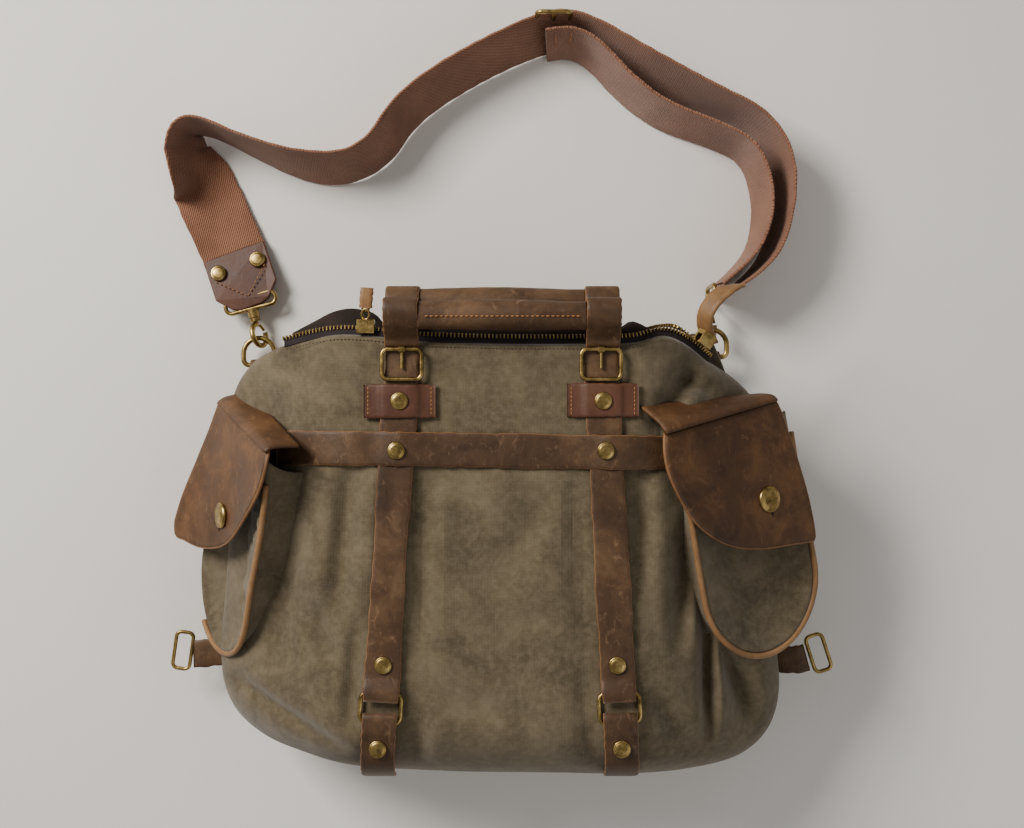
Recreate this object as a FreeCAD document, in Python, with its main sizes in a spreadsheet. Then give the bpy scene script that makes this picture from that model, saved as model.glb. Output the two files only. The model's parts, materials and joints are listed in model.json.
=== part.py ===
import FreeCAD, Part
import Sketcher
import math
import os

# Canvas satchel lying on its back: +X across the front, +Y towards the mouth, +Z away from the front.
# The back rests on z = 0.  All sizes are in millimetres.
V = FreeCAD.Vector
DOC = FreeCAD.newDocument("satchel")
SHEET = DOC.addObject("Spreadsheet::Sheet", "Sizes")

SIZES = {
    "side_x": 205.0, "mouth_y": 155.0, "base_y": -162.0, "front_z": 146.0, "rear_lip_z": 66.0,
    "canvas": 3.0, "lining": 1.2, "split_low": 14.0, "split_high": 108.0,
    "strap_width": 23.5, "leather": 2.6, "buckle_y": 134.0,
    "left_strap_x": 68.6, "left_lean": 0.0625, "right_strap_x": 67.4, "right_lean": 0.054,
    "keeper_width": 49.0, "keeper_height": 23.0, "keeper_y": 109.0, "band_y": 75.0, "strap_end_y": -99.5,
    "tab_y": -123.0, "buckle_width": 30.0, "buckle_height": 23.5, "wire": 3.0,
    "ring_width": 31.0, "ring_height": 24.5, "ring_y": -101.0, "low_rivet_y": -71.5, "tab_rivet_y": -128.5,
    "rivet_radius": 6.0, "rivet_height": 1.8,
    "grip_radius": 10.2, "grip_length": 114.0, "front_grip_y": 167.0, "front_grip_z": 157.0,
    "rear_grip_y": 177.0, "rear_grip_z": 136.5, "rear_hinge_y": 162.0, "rear_hinge_z": 56.0,
    "pocket_width": 100.0, "pocket_length": 166.0, "pocket_depth": 22.0, "pocket_wall": 2.4,
    "left_flap_width": 106.0, "right_flap_width": 118.0, "flap_length": 92.0, "piping": 4.4,
    "snap_radius": 9.0, "snap_height": 2.2,
    "webbing_width": 50.0, "webbing_thick": 2.4, "end_tab_width": 50.0, "end_tab_height": 44.0,
    "end_tab_thick": 4.0, "hook_wire": 4.2, "dee_wire": 4.0, "hook_z": 24.0,
}
for row, (alias, value) in enumerate(SIZES.items(), start=1):
    SHEET.set(f"A{row}", alias)
    SHEET.set(f"B{row}", str(value))
    SHEET.setAlias(f"B{row}", alias)
DOC.recompute()

NODES = []
FIT = 0.05          # radial clearance of a pin in its eye


def size(name):
    return float(getattr(SHEET, name))


def keep(thing, label):
    thing.Label = label
    NODES.append(thing)
    return thing


def bind(thing, prop, text):
    thing.setExpression(prop, text)


def placed(x, y, z, turn=None):
    return FreeCAD.Placement(V(x, y, z), turn or FreeCAD.Rotation())


def about(axis, degrees):
    return FreeCAD.Rotation(V(*axis), degrees)


def plane_of(body, role):
    return next(item for item in body.Origin.OriginFeatures if item.Role == role)


def rectangle_sketch(body, name, width, height):
    """A rectangle centred on the body's XY plane, its two sizes bound to the sheet."""
    sketch = body.newObject("Sketcher::SketchObject", name)
    sketch.AttachmentSupport = (plane_of(body, "XY_Plane"), [""])
    sketch.MapMode = "FlatFace"
    corners = [V(-10, -8, 0), V(10, -8, 0), V(10, 8, 0), V(-10, 8, 0)]
    for index in range(4):
        sketch.addGeometry(Part.LineSegment(corners[index], corners[(index + 1) % 4]), False)
    rule = Sketcher.Constraint
    for index in range(4):
        sketch.addConstraint(rule("Coincident", index, 2, (index + 1) % 4, 1))
    for index, kind in enumerate(["Horizontal", "Vertical", "Horizontal", "Vertical"]):
        sketch.addConstraint(rule(kind, index))
    sketch.addConstraint(rule("Symmetric", 0, 1, 2, 1, -1, 1))
    across = sketch.addConstraint(rule("DistanceX", 0, 1, 0, 2, 20.0))
    along = sketch.addConstraint(rule("DistanceY", 1, 1, 1, 2, 16.0))
    bind(sketch, f"Constraints[{across}]", width)
    bind(sketch, f"Constraints[{along}]", height)
    return sketch


def plate(label, width, height, thick, corner, place, kept=True):
    """A flat leather piece: a padded rectangle with rounded corners."""
    body = DOC.addObject("PartDesign::Body", label)
    sketch = rectangle_sketch(body, label + "_outline", width, height)
    pad = body.newObject("PartDesign::Pad", label + "_pad")
    pad.Profile = sketch
    bind(pad, "Length", thick)
    DOC.recompute()
    edges = [f"Edge{number}" for number, edge in enumerate(pad.Shape.Edges, start=1)
             if edge.Vertexes[0].Point.distanceToPoint(edge.Vertexes[-1].Point) > 0.1
             and abs(edge.tangentAt(edge.FirstParameter).z) > 0.9]
    fillet = body.newObject("PartDesign::Fillet", label + "_corners")
    fillet.Base = (pad, edges)
    fillet.Radius = corner
    body.Tip = fillet
    body.Placement = place
    return keep(body, label) if kept else body


def wire_loop(width, height, wire, corner=5.0):
    """A closed loop of round wire in the XY plane; width and height are its outside sizes."""
    half_w = (width - wire) / 2.0
    half_h = (height - wire) / 2.0
    edges = []
    bends = [(half_w, half_h, 0), (-half_w, half_h, 90), (-half_w, -half_h, 180), (half_w, -half_h, 270)]
    ends = []
    for x, y, start in bends:
        centre = V(x - math.copysign(corner, x), y - math.copysign(corner, y), 0)
        arc = Part.ArcOfCircle(Part.Circle(centre, V(0, 0, 1), corner),
                               math.radians(start), math.radians(start + 90))
        ends.append((arc.StartPoint, arc.EndPoint, arc.toShape()))
    for index in range(4):
        edges.append(ends[index][2])
        edges.append(Part.LineSegment(ends[index][1], ends[(index + 1) % 4][0]).toShape())
    path = Part.Wire(edges)
    start = ends[0][0]
    section = Part.Wire(Part.makeCircle(wire / 2.0, start, V(0, 1, 0)))
    return path.makePipeShell([section], True, True)


def feature(label, shape, place=None):
    item = DOC.addObject("Part::Feature", label)
    item.Shape = shape
    if place is not None:
        item.Placement = place
    return keep(item, label)


def group(label, items):
    """Several identical pieces that share one node."""
    bundle = DOC.addObject("Part::Compound", label)
    bundle.Links = items
    return keep(bundle, label)


def polygon_wire(points):
    """A closed wire of straight sides; a side given as a 3-tuple bends through its middle point."""
    edges = []
    count = len(points)
    for index in range(count):
        start = points[index][0]
        through = points[index][1]
        end = points[(index + 1) % count][0]
        if through is None:
            edges.append(Part.LineSegment(V(*start), V(*end)).toShape())
        else:
            edges.append(Part.Arc(V(*start), V(*through), V(*end)).toShape())
    return Part.Wire(edges)


def prism(points, along):
    return Part.Face(polygon_wire(points)).extrude(along)


# ---------------------------------------------------------------- the canvas body
def body_solid(inset, mouth_extra):
    """The bag's filled shape: its outline, cross-section and side view, each swept and intersected."""
    side = size("side_x") - inset
    base = size("base_y") + inset
    top = size("mouth_y") + mouth_extra
    front = size("front_z") - inset
    lip = size("rear_lip_z") + inset
    low = inset
    outline = prism([((-135 + inset, top, -10), (-182 + inset, 136 - inset, -10)),
                     ((-side, 88, -10), None), ((-side, -102, -10), (-187 + inset, -144 + inset, -10)),
                     ((-145, base, -10), None), ((145, base, -10), (187 - inset, -144 + inset, -10)),
                     ((side, -102, -10), None), ((side, 78, -10), (172 - inset, 126 - inset, -10)),
                     ((118 - inset, top, -10), None)], V(0, 0, 200))
    section = prism([((-170, -200, low), None), ((160, -200, low), (198 - inset, -200, 20)),
                     ((side, -200, 52), (204 - inset, -200, 68)), ((198 - inset, -200, 79 - inset), None),
                     ((104 - inset, -200, 137 - inset), (98, -200, 144 - inset)),
                     ((90 - inset, -200, front), None),
                     ((-108 + inset, -200, front), (-134, -200, 137 - inset)),
                     ((-156 + inset, -200, 118 - inset), None),
                     ((-side, -200, 38), (-200 + inset, -200, 14))],
                    V(0, 420, 0))
    profile = prism([((-250, -140, low), None), ((-250, 60, low), (-250, 118, low + 16)),
                     ((-250, top, lip + 0.1 * mouth_extra), None), ((-250, top, front), None),
                     ((-250, -136, front), (-250, base + 6, 136 - inset)),
                     ((-250, base, 112), None), ((-250, base, 32), (-250, base + 6, 8 + inset))],
                    V(500, 0, 0))
    return outline.common(section).common(profile)


def slab(low, high):
    return Part.makeBox(500, 500, high - low, V(-250, -250, low))


MOUTH = Part.makeBox(232, 60, 100, V(-130, 125, 48))
outer = body_solid(0.0, 0.0)
canvas_inside = body_solid(size("canvas"), -size("canvas"))
lining_inside = body_solid(size("canvas") + size("lining"), -size("canvas") - size("lining"))
mouth_room = MOUTH.common(slab(size("rear_lip_z") + 5, size("front_z") - 8))
shell = outer.cut(canvas_inside).cut(mouth_room)
lining = canvas_inside.cut(lining_inside).cut(mouth_room)
feature("front_panel", shell.common(slab(size("split_high"), 200)))
feature("gusset", shell.common(slab(size("split_low"), size("split_high"))))
feature("back_panel", shell.common(slab(-5, size("split_low"))))
feature("main_lining", lining)

# ---------------------------------------------------------------- the zip
LIP_X = (-130.0, 112.0)


def bar(label, length, width, height, corner):
    """A straight strip from its low corner, its three sizes plain or bound to the sheet."""
    box = DOC.addObject("Part::Box", label)
    for prop, value in (("Length", length), ("Width", width), ("Height", height)):
        if isinstance(value, str):
            bind(box, prop, value)
        else:
            setattr(box, prop, value)
    box.Placement = placed(*corner)
    return box


front_z = size("front_z")
lip_z = size("rear_lip_z")
lip_length = LIP_X[1] - LIP_X[0]
for side, low in (("front", front_z - 5.0), ("rear", lip_z + 2.4)):
    tape = bar(side + "_zip_tape", lip_length, 2.6, 2.2, (LIP_X[0], size("mouth_y"), low))
    teeth = bar(side + "_zip_teeth", lip_length, 3.4, 4.0, (LIP_X[0], size("mouth_y") + 2.6, low - 0.9))
    keep(tape, side + "_zip_tape")
    keep(teeth, side + "_zip_teeth")
TRACK_Y = size("mouth_y") + 4.3
TRACK_Z = front_z - 3.9


def slider_shape():
    """A slider clasping the front row of teeth, with an eye for its pull."""
    slot = Part.makeBox(20, 4.8, 4.8, V(-10, -2.4, -2.4))
    body = Part.makeBox(12, 9.4, 8.0, V(-6, -3.9, -4.0)).cut(slot)
    return body.cut(Part.makeBox(20, 4.0, 2.9, V(-10, -6.0, -1.45)))


def pull_shape():
    """A brass tongue and its leather tab, hinged at its near end."""
    tongue = Part.makeBox(4.4, 10, 1.6, V(-2.2, 0.6, -0.8))
    tab = Part.makeBox(9.5, 12, 3.0, V(-4.75, 9.6, -1.5))
    return tongue.fuse(tab)


def spot(origin, frame_turn, point):
    """A point of a turned and moved frame, in the bag's own frame."""
    return origin + frame_turn.multVec(V(*point))


# The front row turns down over the right shoulder; the right slider rides that stretch.
RUN = V(34, -20, -28).normalize()
RUN_OUT = V(0.507, 0.862, 0.0).normalize()
RUN_TURN = FreeCAD.Rotation(RUN, RUN_OUT, RUN.cross(RUN_OUT), "XYZ")
RUN_START = V(121.5, 163.6, 140.0)
RUN_SLIDER = RUN_START + RUN * 28.0
turned_row = bar("turned_row", 42.0, 3.4, 4.0, (0, 0, 0))
turned_row.Placement = FreeCAD.Placement(spot(RUN_START, RUN_TURN, (0, -1.7, -2.0)), RUN_TURN)
keep(turned_row, "shoulder_zip_teeth")
PULL_OUT = 6.3
for side, origin, turn in (("left", V(-94.0, TRACK_Y, TRACK_Z), FreeCAD.Rotation()),
                           ("right", RUN_SLIDER, RUN_TURN)):
    feature(side + "_zip_slider", slider_shape(), FreeCAD.Placement(origin, turn))
    hinge = spot(origin, turn, (0, PULL_OUT, 0))
    feature(side + "_zip_pull", pull_shape(), FreeCAD.Placement(hinge, turn))

# ---------------------------------------------------------------- straps on the front
LEATHER_Z = front_z + size("leather")
BAND_Z = LEATHER_Z + size("leather")


SIDES = (("left", -1), ("right", 1))


def strap_x(side, y):
    """Distance of a front strap's middle from the bag's middle, which grows towards the base."""
    return size(side + "_strap_x") + (size("buckle_y") - y) * size(side + "_lean")


def lean(side, sign):
    return about((0, 0, 1), sign * math.degrees(math.atan(size(side + "_lean"))))


def side_strip(points, width):
    """A strip of leather whose side view is a polygon in Y and Z."""
    return prism([((-width / 2.0, y, z), None) for y, z in points], V(width, 0, 0))


thick = size("leather")
rise = 4.4
strap_top = 140.5
ring_y = size("ring_y")
strap_profile = [(strap_top, 0), (strap_top, thick), (ring_y + 19.5, thick), (ring_y + 14.5, thick + rise),
                 (size("strap_end_y"), thick + rise), (size("strap_end_y"), rise), (ring_y + 13.7, rise),
                 (ring_y + 18.5, 0)]
tab_near = ring_y - 3.0
tab_far = -142.0
tab_profile = [(tab_near, rise), (tab_near, thick + rise), (ring_y - 15.5, thick + rise), (ring_y - 20.5, thick),
               (tab_far, thick), (tab_far, 0), (ring_y - 19.5, 0), (ring_y - 14.5, rise)]
mid_y = 30.0
rivet_spots = []
keepers = []
base_tabs = []
for side, sign in SIDES:
    middle = sign * strap_x(side, mid_y)
    shape = side_strip([(y - mid_y, z) for y, z in strap_profile], size("strap_width"))
    feature(side + "_front_strap", shape, placed(middle, mid_y, front_z, lean(side, sign)))
    base = side_strip([(y - size("tab_y"), z) for y, z in tab_profile], size("strap_width"))
    base.Placement = placed(sign * strap_x(side, size("tab_y")), size("tab_y"), front_z, lean(side, sign))
    base_tabs.append(base)
    keepers.append(plate(side + "_keeper", "Sizes.keeper_width", "Sizes.keeper_height", "Sizes.leather", 3.0,
                         placed(sign * strap_x(side, size("keeper_y")), size("keeper_y"), LEATHER_Z), False))
    for y, level in ((size("keeper_y"), BAND_Z), (size("band_y"), BAND_Z),
                     (size("low_rivet_y"), LEATHER_Z), (size("tab_rivet_y"), LEATHER_Z)):
        rivet_spots.append((sign * strap_x(side, y), y, level))
group("strap_keepers", keepers)
feature("base_tabs", Part.makeCompound(base_tabs))
band = prism([((106, -11.7, 0), None), ((106, -11.7, thick), None), ((-106, -11.7, thick), None),
              ((-132, -11.7, thick - 6.6), None), ((-132, -11.7, -6.6), None), ((-106, -11.7, 0), None)],
             V(0, 23.4, 0))
feature("band_strap", band, placed(0, size("band_y"), LEATHER_Z))


def rivet(name, spot):
    cap = DOC.addObject("Part::Cylinder", name)
    bind(cap, "Radius", "Sizes.rivet_radius")
    bind(cap, "Height", "Sizes.rivet_height")
    cap.Placement = placed(*spot)
    return cap


group("strap_rivets", [rivet(f"rivet_{index}", spot) for index, spot in enumerate(rivet_spots)])

# ---------------------------------------------------------------- buckles, prongs and lower rings
wire = size("wire")
FRAME_Z = LEATHER_Z + 0.4 + wire / 2.0
BAR_Y = size("buckle_y") + (size("buckle_height") - wire) / 2.0


def prong_shape():
    """An eye round the frame's bar, with a short tongue that points towards the base."""
    eye = Part.makeCylinder(2.7, 4.4, V(-2.2, 0, 0), V(1, 0, 0))
    tongue = Part.makeCylinder(1.15, 13.0, V(0, 0, 0), V(0, -1, 0))
    return eye.fuse(tongue).cut(Part.makeCylinder(wire / 2.0 + FIT, 8, V(-4, 0, 0), V(1, 0, 0)))


for side, sign in SIDES:
    x = sign * size(side + "_strap_x")
    feature(side + "_buckle", wire_loop(size("buckle_width"), size("buckle_height"), wire, 4.0),
            placed(x, size("buckle_y"), FRAME_Z))
    feature(side + "_buckle_prong", prong_shape(), placed(x, BAR_Y, FRAME_Z))
    feature(side + "_base_ring", wire_loop(size("ring_width"), size("ring_height"), wire, 6.0),
            placed(sign * strap_x(side, ring_y), ring_y, front_z + 0.6 + wire / 2.0, lean(side, sign)))

# ---------------------------------------------------------------- the two carrying handles
SPAN = size("grip_length") / 2.0
ROLL = 8.8


def leg_shape(start, end, slot):
    """One strap leg from its hinge end to the roll that holds the grip, drawn about the X axis."""
    reach = math.hypot(end[0], end[1])
    angle = math.degrees(math.atan2(end[1], end[0]))
    width = size("strap_width")
    strip = Part.makeBox(width, reach - start, thick, V(-width / 2.0, start, -thick / 2.0))
    if slot:
        strip = strip.cut(Part.makeBox(8.0, 6.0, 10.0, V(-4.0, start - 1.0, -5.0)))
    strip.rotate(V(0, 0, 0), V(1, 0, 0), angle)
    roll = Part.makeCylinder(ROLL, width, V(-width / 2.0, end[0], end[1]), V(1, 0, 0))
    return strip.fuse(roll)


def handle(side, hinge_y, hinge_z, grip_y, grip_z, start, slot):
    legs = []
    for sign in (-1, 1):
        leg = leg_shape(start, (grip_y - hinge_y, grip_z - hinge_z), slot)
        leg.translate(V(sign * (SPAN + size("strap_width") / 2.0), hinge_y, hinge_z))
        legs.append(leg)
    feature(side + "_handle_legs", Part.makeCompound(legs))
    grip = DOC.addObject("Part::Cylinder", side + "_handle_grip")
    bind(grip, "Radius", "Sizes.grip_radius")
    bind(grip, "Height", "Sizes.grip_length")
    grip.Placement = placed(-SPAN, grip_y, grip_z, about((0, 1, 0), 90))
    keep(grip, side + "_handle_grip")


handle("front", BAR_Y, FRAME_Z, size("front_grip_y"), size("front_grip_z"), 2.7, True)
rear_y = size("rear_hinge_y")
rear_z = size("rear_hinge_z")
handle("rear", rear_y, rear_z, size("rear_grip_y"), size("rear_grip_z"), 2.0, False)
strips = []
for index, sign in enumerate((-1, 1)):
    x = sign * (SPAN + size("strap_width") / 2.0)
    strip = bar(f"rear_strip_{index}", "Sizes.strap_width", 6.4, "Sizes.leather",
                (x - size("strap_width") / 2.0, rear_y - 8.7, rear_z - thick / 2.0))
    strips.append(strip)
group("rear_straps", strips)

# ---------------------------------------------------------------- side pockets
POCKET_TOP = 70.0
FLAP_TOP = 76.0
depth = size("pocket_depth")
FLAP_LOW = depth + 1.8


def pocket_outline(half, top, bottom, level):
    """Straight sides down to a half-round bottom."""
    return [((-half, top, level), None), ((half, top, level), None),
            ((half, bottom + half, level), (0, bottom, level)), ((-half, bottom + half, level), None)]


def pocket_shapes():
    half = size("pocket_width") / 2.0
    wall = size("pocket_wall")
    bottom = POCKET_TOP - size("pocket_length")
    solid = prism(pocket_outline(half, POCKET_TOP, bottom, 0.0), V(0, 0, depth))
    room = prism(pocket_outline(half - wall, POCKET_TOP + 10, bottom + wall, wall), V(0, 0, depth - 2 * wall))
    edge = half + size("piping") / 2.0 + 0.2
    level = depth - size("piping") / 2.0
    side_left = Part.LineSegment(V(-edge, 45, level), V(-edge, bottom + half, level)).toShape()
    round_low = Part.Arc(V(-edge, bottom + half, level), V(0, bottom + half - edge, level),
                         V(edge, bottom + half, level)).toShape()
    side_right = Part.LineSegment(V(edge, bottom + half, level), V(edge, 45, level)).toShape()
    ring = Part.Wire(Part.makeCircle(size("piping") / 2.0, V(-edge, 45, level), V(0, 1, 0)))
    piping = Part.Wire([side_left, round_low, side_right]).makePipeShell([ring], True, True)
    return solid.cut(room), piping


def flap_shape(side):
    half = size(side + "_flap_width") / 2.0
    bottom = FLAP_TOP - size("flap_length")
    corner = 34.0
    points = [((-half, FLAP_TOP, FLAP_LOW), None), ((half, FLAP_TOP, FLAP_LOW), None),
              ((half, bottom + corner, FLAP_LOW), (half - 10, bottom + 10, FLAP_LOW)),
              ((half - corner, bottom, FLAP_LOW), None),
              ((corner - half, bottom, FLAP_LOW), (10 - half, bottom + 10, FLAP_LOW)),
              ((-half, bottom + corner, FLAP_LOW), None)]
    return prism(points, V(0, 0, thick))


POCKETS = {
    "left": (V(-179.5, 20.0, 84.5), about((0, 1, 0), -58.5).multiply(about((0, 0, 1), -20))),
    "right": (V(164.5, 25.0, 100.9), about((0, 1, 0), 31.6).multiply(about((0, 0, 1), 13))),
}
SNAP = {"left": (0.0, 8.0), "right": (14.0, 12.0)}
sockets = []
flap_roots = []
for side, (origin, turn) in POCKETS.items():
    place = FreeCAD.Placement(origin, turn)
    pocket, piping = pocket_shapes()
    feature(side + "_pocket", pocket, place)
    feature(side + "_pocket_piping", piping, place)
    feature(side + "_pocket_flap", flap_shape(side), place)
    half = size(side + "_flap_width") / 2.0
    root = Part.makeBox(2 * half, thick, FLAP_LOW - 1.5, V(-half, FLAP_TOP + 3.0, 0.5))
    root.Placement = place
    flap_roots.append(root.cut(outer))
    u, v = SNAP[side]
    cap = DOC.addObject("Part::Cylinder", side + "_snap_cap")
    bind(cap, "Radius", "Sizes.snap_radius")
    bind(cap, "Height", "Sizes.snap_height")
    cap.Placement = FreeCAD.Placement(spot(origin, turn, (u, v, FLAP_LOW + thick)), turn)
    keep(cap, side + "_snap_cap")
    socket = DOC.addObject("Part::Cylinder", side + "_snap_socket")
    bind(socket, "Radius", "Sizes.snap_radius * 0.7")
    socket.Height = 1.2
    socket.Placement = FreeCAD.Placement(spot(origin, turn, (u, v, depth)), turn)
    sockets.append(socket)
group("snap_sockets", sockets)
feature("flap_roots", Part.makeCompound(flap_roots))

# ---------------------------------------------------------------- pocket straps and their loop buckles
LOOPS = {"left": (V(-224.0, -84.0, 30.0), about((0, 0, 1), 172), 26.0),
         "right": (V(220.0, -89.0, 34.0), about((0, 0, 1), 18), 24.0)}
LOOP_REACH = 16.0
STRAP_TIP = 11.75
for side, (origin, turn, length) in LOOPS.items():
    plate(side + "_pocket_strap", str(length), "Sizes.strap_width", "Sizes.leather", 2.0,
          FreeCAD.Placement(spot(origin, turn, (STRAP_TIP - length / 2.0, 0, -thick / 2.0)), turn))
    feature(side + "_loop_buckle", wire_loop(16.0, 31.0, wire, 4.0),
            FreeCAD.Placement(spot(origin, turn, (LOOP_REACH + 5.6, 0, 0)), turn))

# ---------------------------------------------------------------- shoulder strap hardware
dee = size("dee_wire")
hook_wire = size("hook_wire")
EYE = 8.6
EYE_BACK = 15.0


def dee_shape():
    """A D of round wire: its straight bar on the X axis, its round side towards +Y."""
    radius = dee / 2.0
    bend = 4.5
    arch = Part.makeTorus(12, radius, V(0, 9, 0), V(0, 0, 1), -180, 180, 180)
    pieces = [Part.makeCylinder(radius, 24 - 2 * bend, V(bend - 12, 0, 0), V(1, 0, 0))]
    for sign, start in ((-1, 180), (1, 270)):
        corner = Part.makeTorus(bend, radius, V(0, 0, 0), V(0, 0, 1), -180, 180, 90)
        corner.rotate(V(0, 0, 0), V(0, 0, 1), start)
        corner.translate(V(sign * (12 - bend), bend, 0))
        pieces.append(corner)
        pieces.append(Part.makeCylinder(radius, 9 - bend, V(sign * 12, bend, 0), V(0, 1, 0)))
    return arch.fuse(pieces)


def anchor_shape():
    block = Part.makeBox(12.0, 12.0, 9.0, V(-6.0, -8.2, -4.5))
    return block.cut(Part.makeCylinder(dee / 2.0 + FIT, 30, V(-15, 0, 0), V(1, 0, 0)))


def bail_shape():
    """The wide loop that holds the webbing, with the bored barrel that the hook swivels in."""
    loop = wire_loop(43.0, 13.0, 3.4, 4.4)
    loop.translate(V(0, 11.0, 0))
    barrel = Part.makeCylinder(4.4, 7.0, V(0, -1.0, 0), V(0, 1, 0))
    bore = Part.makeCylinder(hook_wire / 2.0 + FIT, 5.4, V(0, -1.2, 0), V(0, 1, 0))
    return loop.fuse(barrel).cut(bore)


def hook_shape():
    """Shank, collar and open eye; the eye's mouth is on its +X side."""
    radius = hook_wire / 2.0
    eye = Part.makeTorus(EYE, radius, V(0, 0, 0), V(0, 0, 1), -180, 180, 285)
    eye.rotate(V(0, 0, 0), V(0, 0, 1), 85)
    eye.translate(V(0, -EYE_BACK, 0))
    shank = Part.makeCylinder(radius, 10.6, V(0, -EYE_BACK + EYE, 0), V(0, 1, 0))
    collar = Part.makeCylinder(4.0, 2.6, V(0, -4.2, 0), V(0, 1, 0))
    return eye.fuse(shank).fuse(collar)


GATE = [(EYE * math.cos(math.radians(angle)), EYE * math.sin(math.radians(angle)) - EYE_BACK)
        for angle in (60, 23)]


def gate_shape():
    start = V(GATE[0][0], GATE[0][1], 0)
    end = V(GATE[1][0], GATE[1][1], 0)
    return Part.makeCylinder(1.2, (end - start).Length, start, end - start)


HOOKS = {
    "left": (V(-190.0, 138.0, 14.0), 15.0, 0.0),
    "right": (V(160.0, 144.0, size("hook_z")), 0.0, 90.0),
}
anchors = []
for side, (dee_spot, heading, roll) in HOOKS.items():
    feature(side + "_dee_ring", dee_shape(), placed(*dee_spot))
    anchor = anchor_shape()
    anchor.translate(dee_spot)
    anchors.append(anchor)
    eye_centre = dee_spot + V(0, 23.5, 0)
    face = about((0, 0, 1), heading)
    origin = spot(eye_centre, face, (0, EYE_BACK, 0))
    tilt = face.multiply(about((0, 1, 0), 65))
    bail_turn = face.multiply(about((0, 1, 0), roll))
    feature(side + "_hook_bail", bail_shape(), FreeCAD.Placement(origin, bail_turn))
    feature(side + "_hook", hook_shape(), FreeCAD.Placement(origin, tilt))
    feature(side + "_hook_gate", gate_shape(), FreeCAD.Placement(origin, tilt))
    print(side, "hook origin", origin, "gate hinge", spot(origin, tilt, (GATE[0][0], GATE[0][1], 0)),
          "gate axis", tilt.multVec(V(0, 0, 1)), "hook axis", face.multVec(V(0, 1, 0)))

feature("dee_anchors", Part.makeCompound(anchors))

# ---------------------------------------------------------------- end tab, webbing and slide adjuster
TAB = (V(-207.2, 216.5, 14.0), about((0, 0, 1), 20))
plate("strap_end_tab", "Sizes.end_tab_width", "Sizes.end_tab_height", "Sizes.end_tab_thick", 5.0,
      FreeCAD.Placement(spot(*TAB, (0, 0, -size("end_tab_thick") / 2.0)), TAB[1]))
caps = [(-16.0, 9.0), (16.0, 9.0)]
group("tab_rivets", [rivet(f"tab_rivet_{index}", spot(*TAB, (x, y, 2.0)))
                     for index, (x, y) in enumerate(caps)])

WEB_LOW = 1.0
ROUTE = [(-217, 241), (-238, 273), (-254, 303), (-250, 322), (-231, 323), (-196, 306), (-157, 291), (-122, 288),
         (-95, 303), (-80, 328), (-58, 348), (-18, 372), (26, 392), (50, 397), (76, 385), (108, 367), (152, 345),
         (196, 325), (217, 292), (214, 244), (197, 208), (166, 190)]
RETURN = [(28, 382), (44, 386), (58, 384), (72, 375), (93, 351), (122, 329), (163, 315), (191, 301),
          (201, 265), (196, 234), (184, 215), (165, 199)]


def rounded_path(label, points, level):
    """Straight runs joined by tangent arcs, each as large as its two runs allow."""
    spots = [V(x, y, level) for x, y in points]
    edges = []
    last = spots[0]
    radii = []
    for before, corner, after in zip(spots, spots[1:], spots[2:]):
        near = (before - corner).normalize()
        far = (after - corner).normalize()
        shorter = min(before.distanceToPoint(corner), after.distanceToPoint(corner))
        turn = math.pi - near.getAngle(far)
        trim = 0.45 * shorter
        radius = trim / math.tan(turn / 2.0)
        start = corner + near * trim
        end = corner + far * trim
        inward = (near + far).normalize()
        middle = corner + inward * (math.hypot(trim, radius) - radius)
        edges.append(Part.LineSegment(last, start).toShape())
        edges.append(Part.Arc(start, middle, end).toShape())
        last = end
        radii.append(round(radius, 1))
    edges.append(Part.LineSegment(last, spots[-1]).toShape())
    wire_path = Part.Wire(edges)
    print(label, "length", round(wire_path.Length, 1), "radii", radii)
    return wire_path


def webbing(label, points):
    """Flat webbing that stands on its edge along its route."""
    path = rounded_path(label, points, WEB_LOW)
    heading = (V(*points[1], 0) - V(*points[0], 0)).normalize()
    across = heading.cross(V(0, 0, 1)) * (size("webbing_thick") / 2.0)
    start = V(*points[0], WEB_LOW)
    up = V(0, 0, size("webbing_width"))
    section = Part.makePolygon([start - across, start + across, start + across + up, start - across + up,
                                start - across])
    solid = path.makePipeShell([section], True, False)
    expected = path.Length * size("webbing_thick") * size("webbing_width")
    print(label, "volume over section times length", round(solid.Volume / expected, 4))
    return feature(label, solid)


webbing("strap_webbing", ROUTE)
webbing("strap_webbing_return", RETURN)
SLIDE_WIRE = 3.6
SLIDE_HEIGHT = 60.0
SLIDE_REACH = SLIDE_HEIGHT / 2.0 - 1.5
slide_bar = Part.makeCylinder(SLIDE_WIRE / 2.0, 2 * SLIDE_REACH, V(-SLIDE_REACH, 0, 0), V(1, 0, 0))
slide = wire_loop(SLIDE_HEIGHT, 26.0, SLIDE_WIRE, 4.0).fuse(slide_bar)
feature("strap_slide", slide, placed(38, 406.5, SLIDE_HEIGHT / 2.0 + 0.4, about((1, 1, 1), 240)))

# ---------------------------------------------------------------- checks and export
DOC.recompute()
faults = []
for item in DOC.Objects:
    if "Invalid" in item.State or "Error" in item.State:
        faults.append(f"{item.Label}: {item.State}")
for node in NODES:
    shape = node.Shape
    if shape.isNull() or not shape.isValid() or not shape.Solids:
        faults.append(f"{node.Label}: bad shape")
if faults:
    raise RuntimeError("; ".join(faults))
os.makedirs("parts", exist_ok=True)
for node in NODES:
    node.Shape.exportStep(f"parts/{node.Label}.step")
print(len(NODES), "nodes")
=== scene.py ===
import json
import math
import random

import bmesh
import bpy
from mathutils import Matrix, Vector, noise


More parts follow.
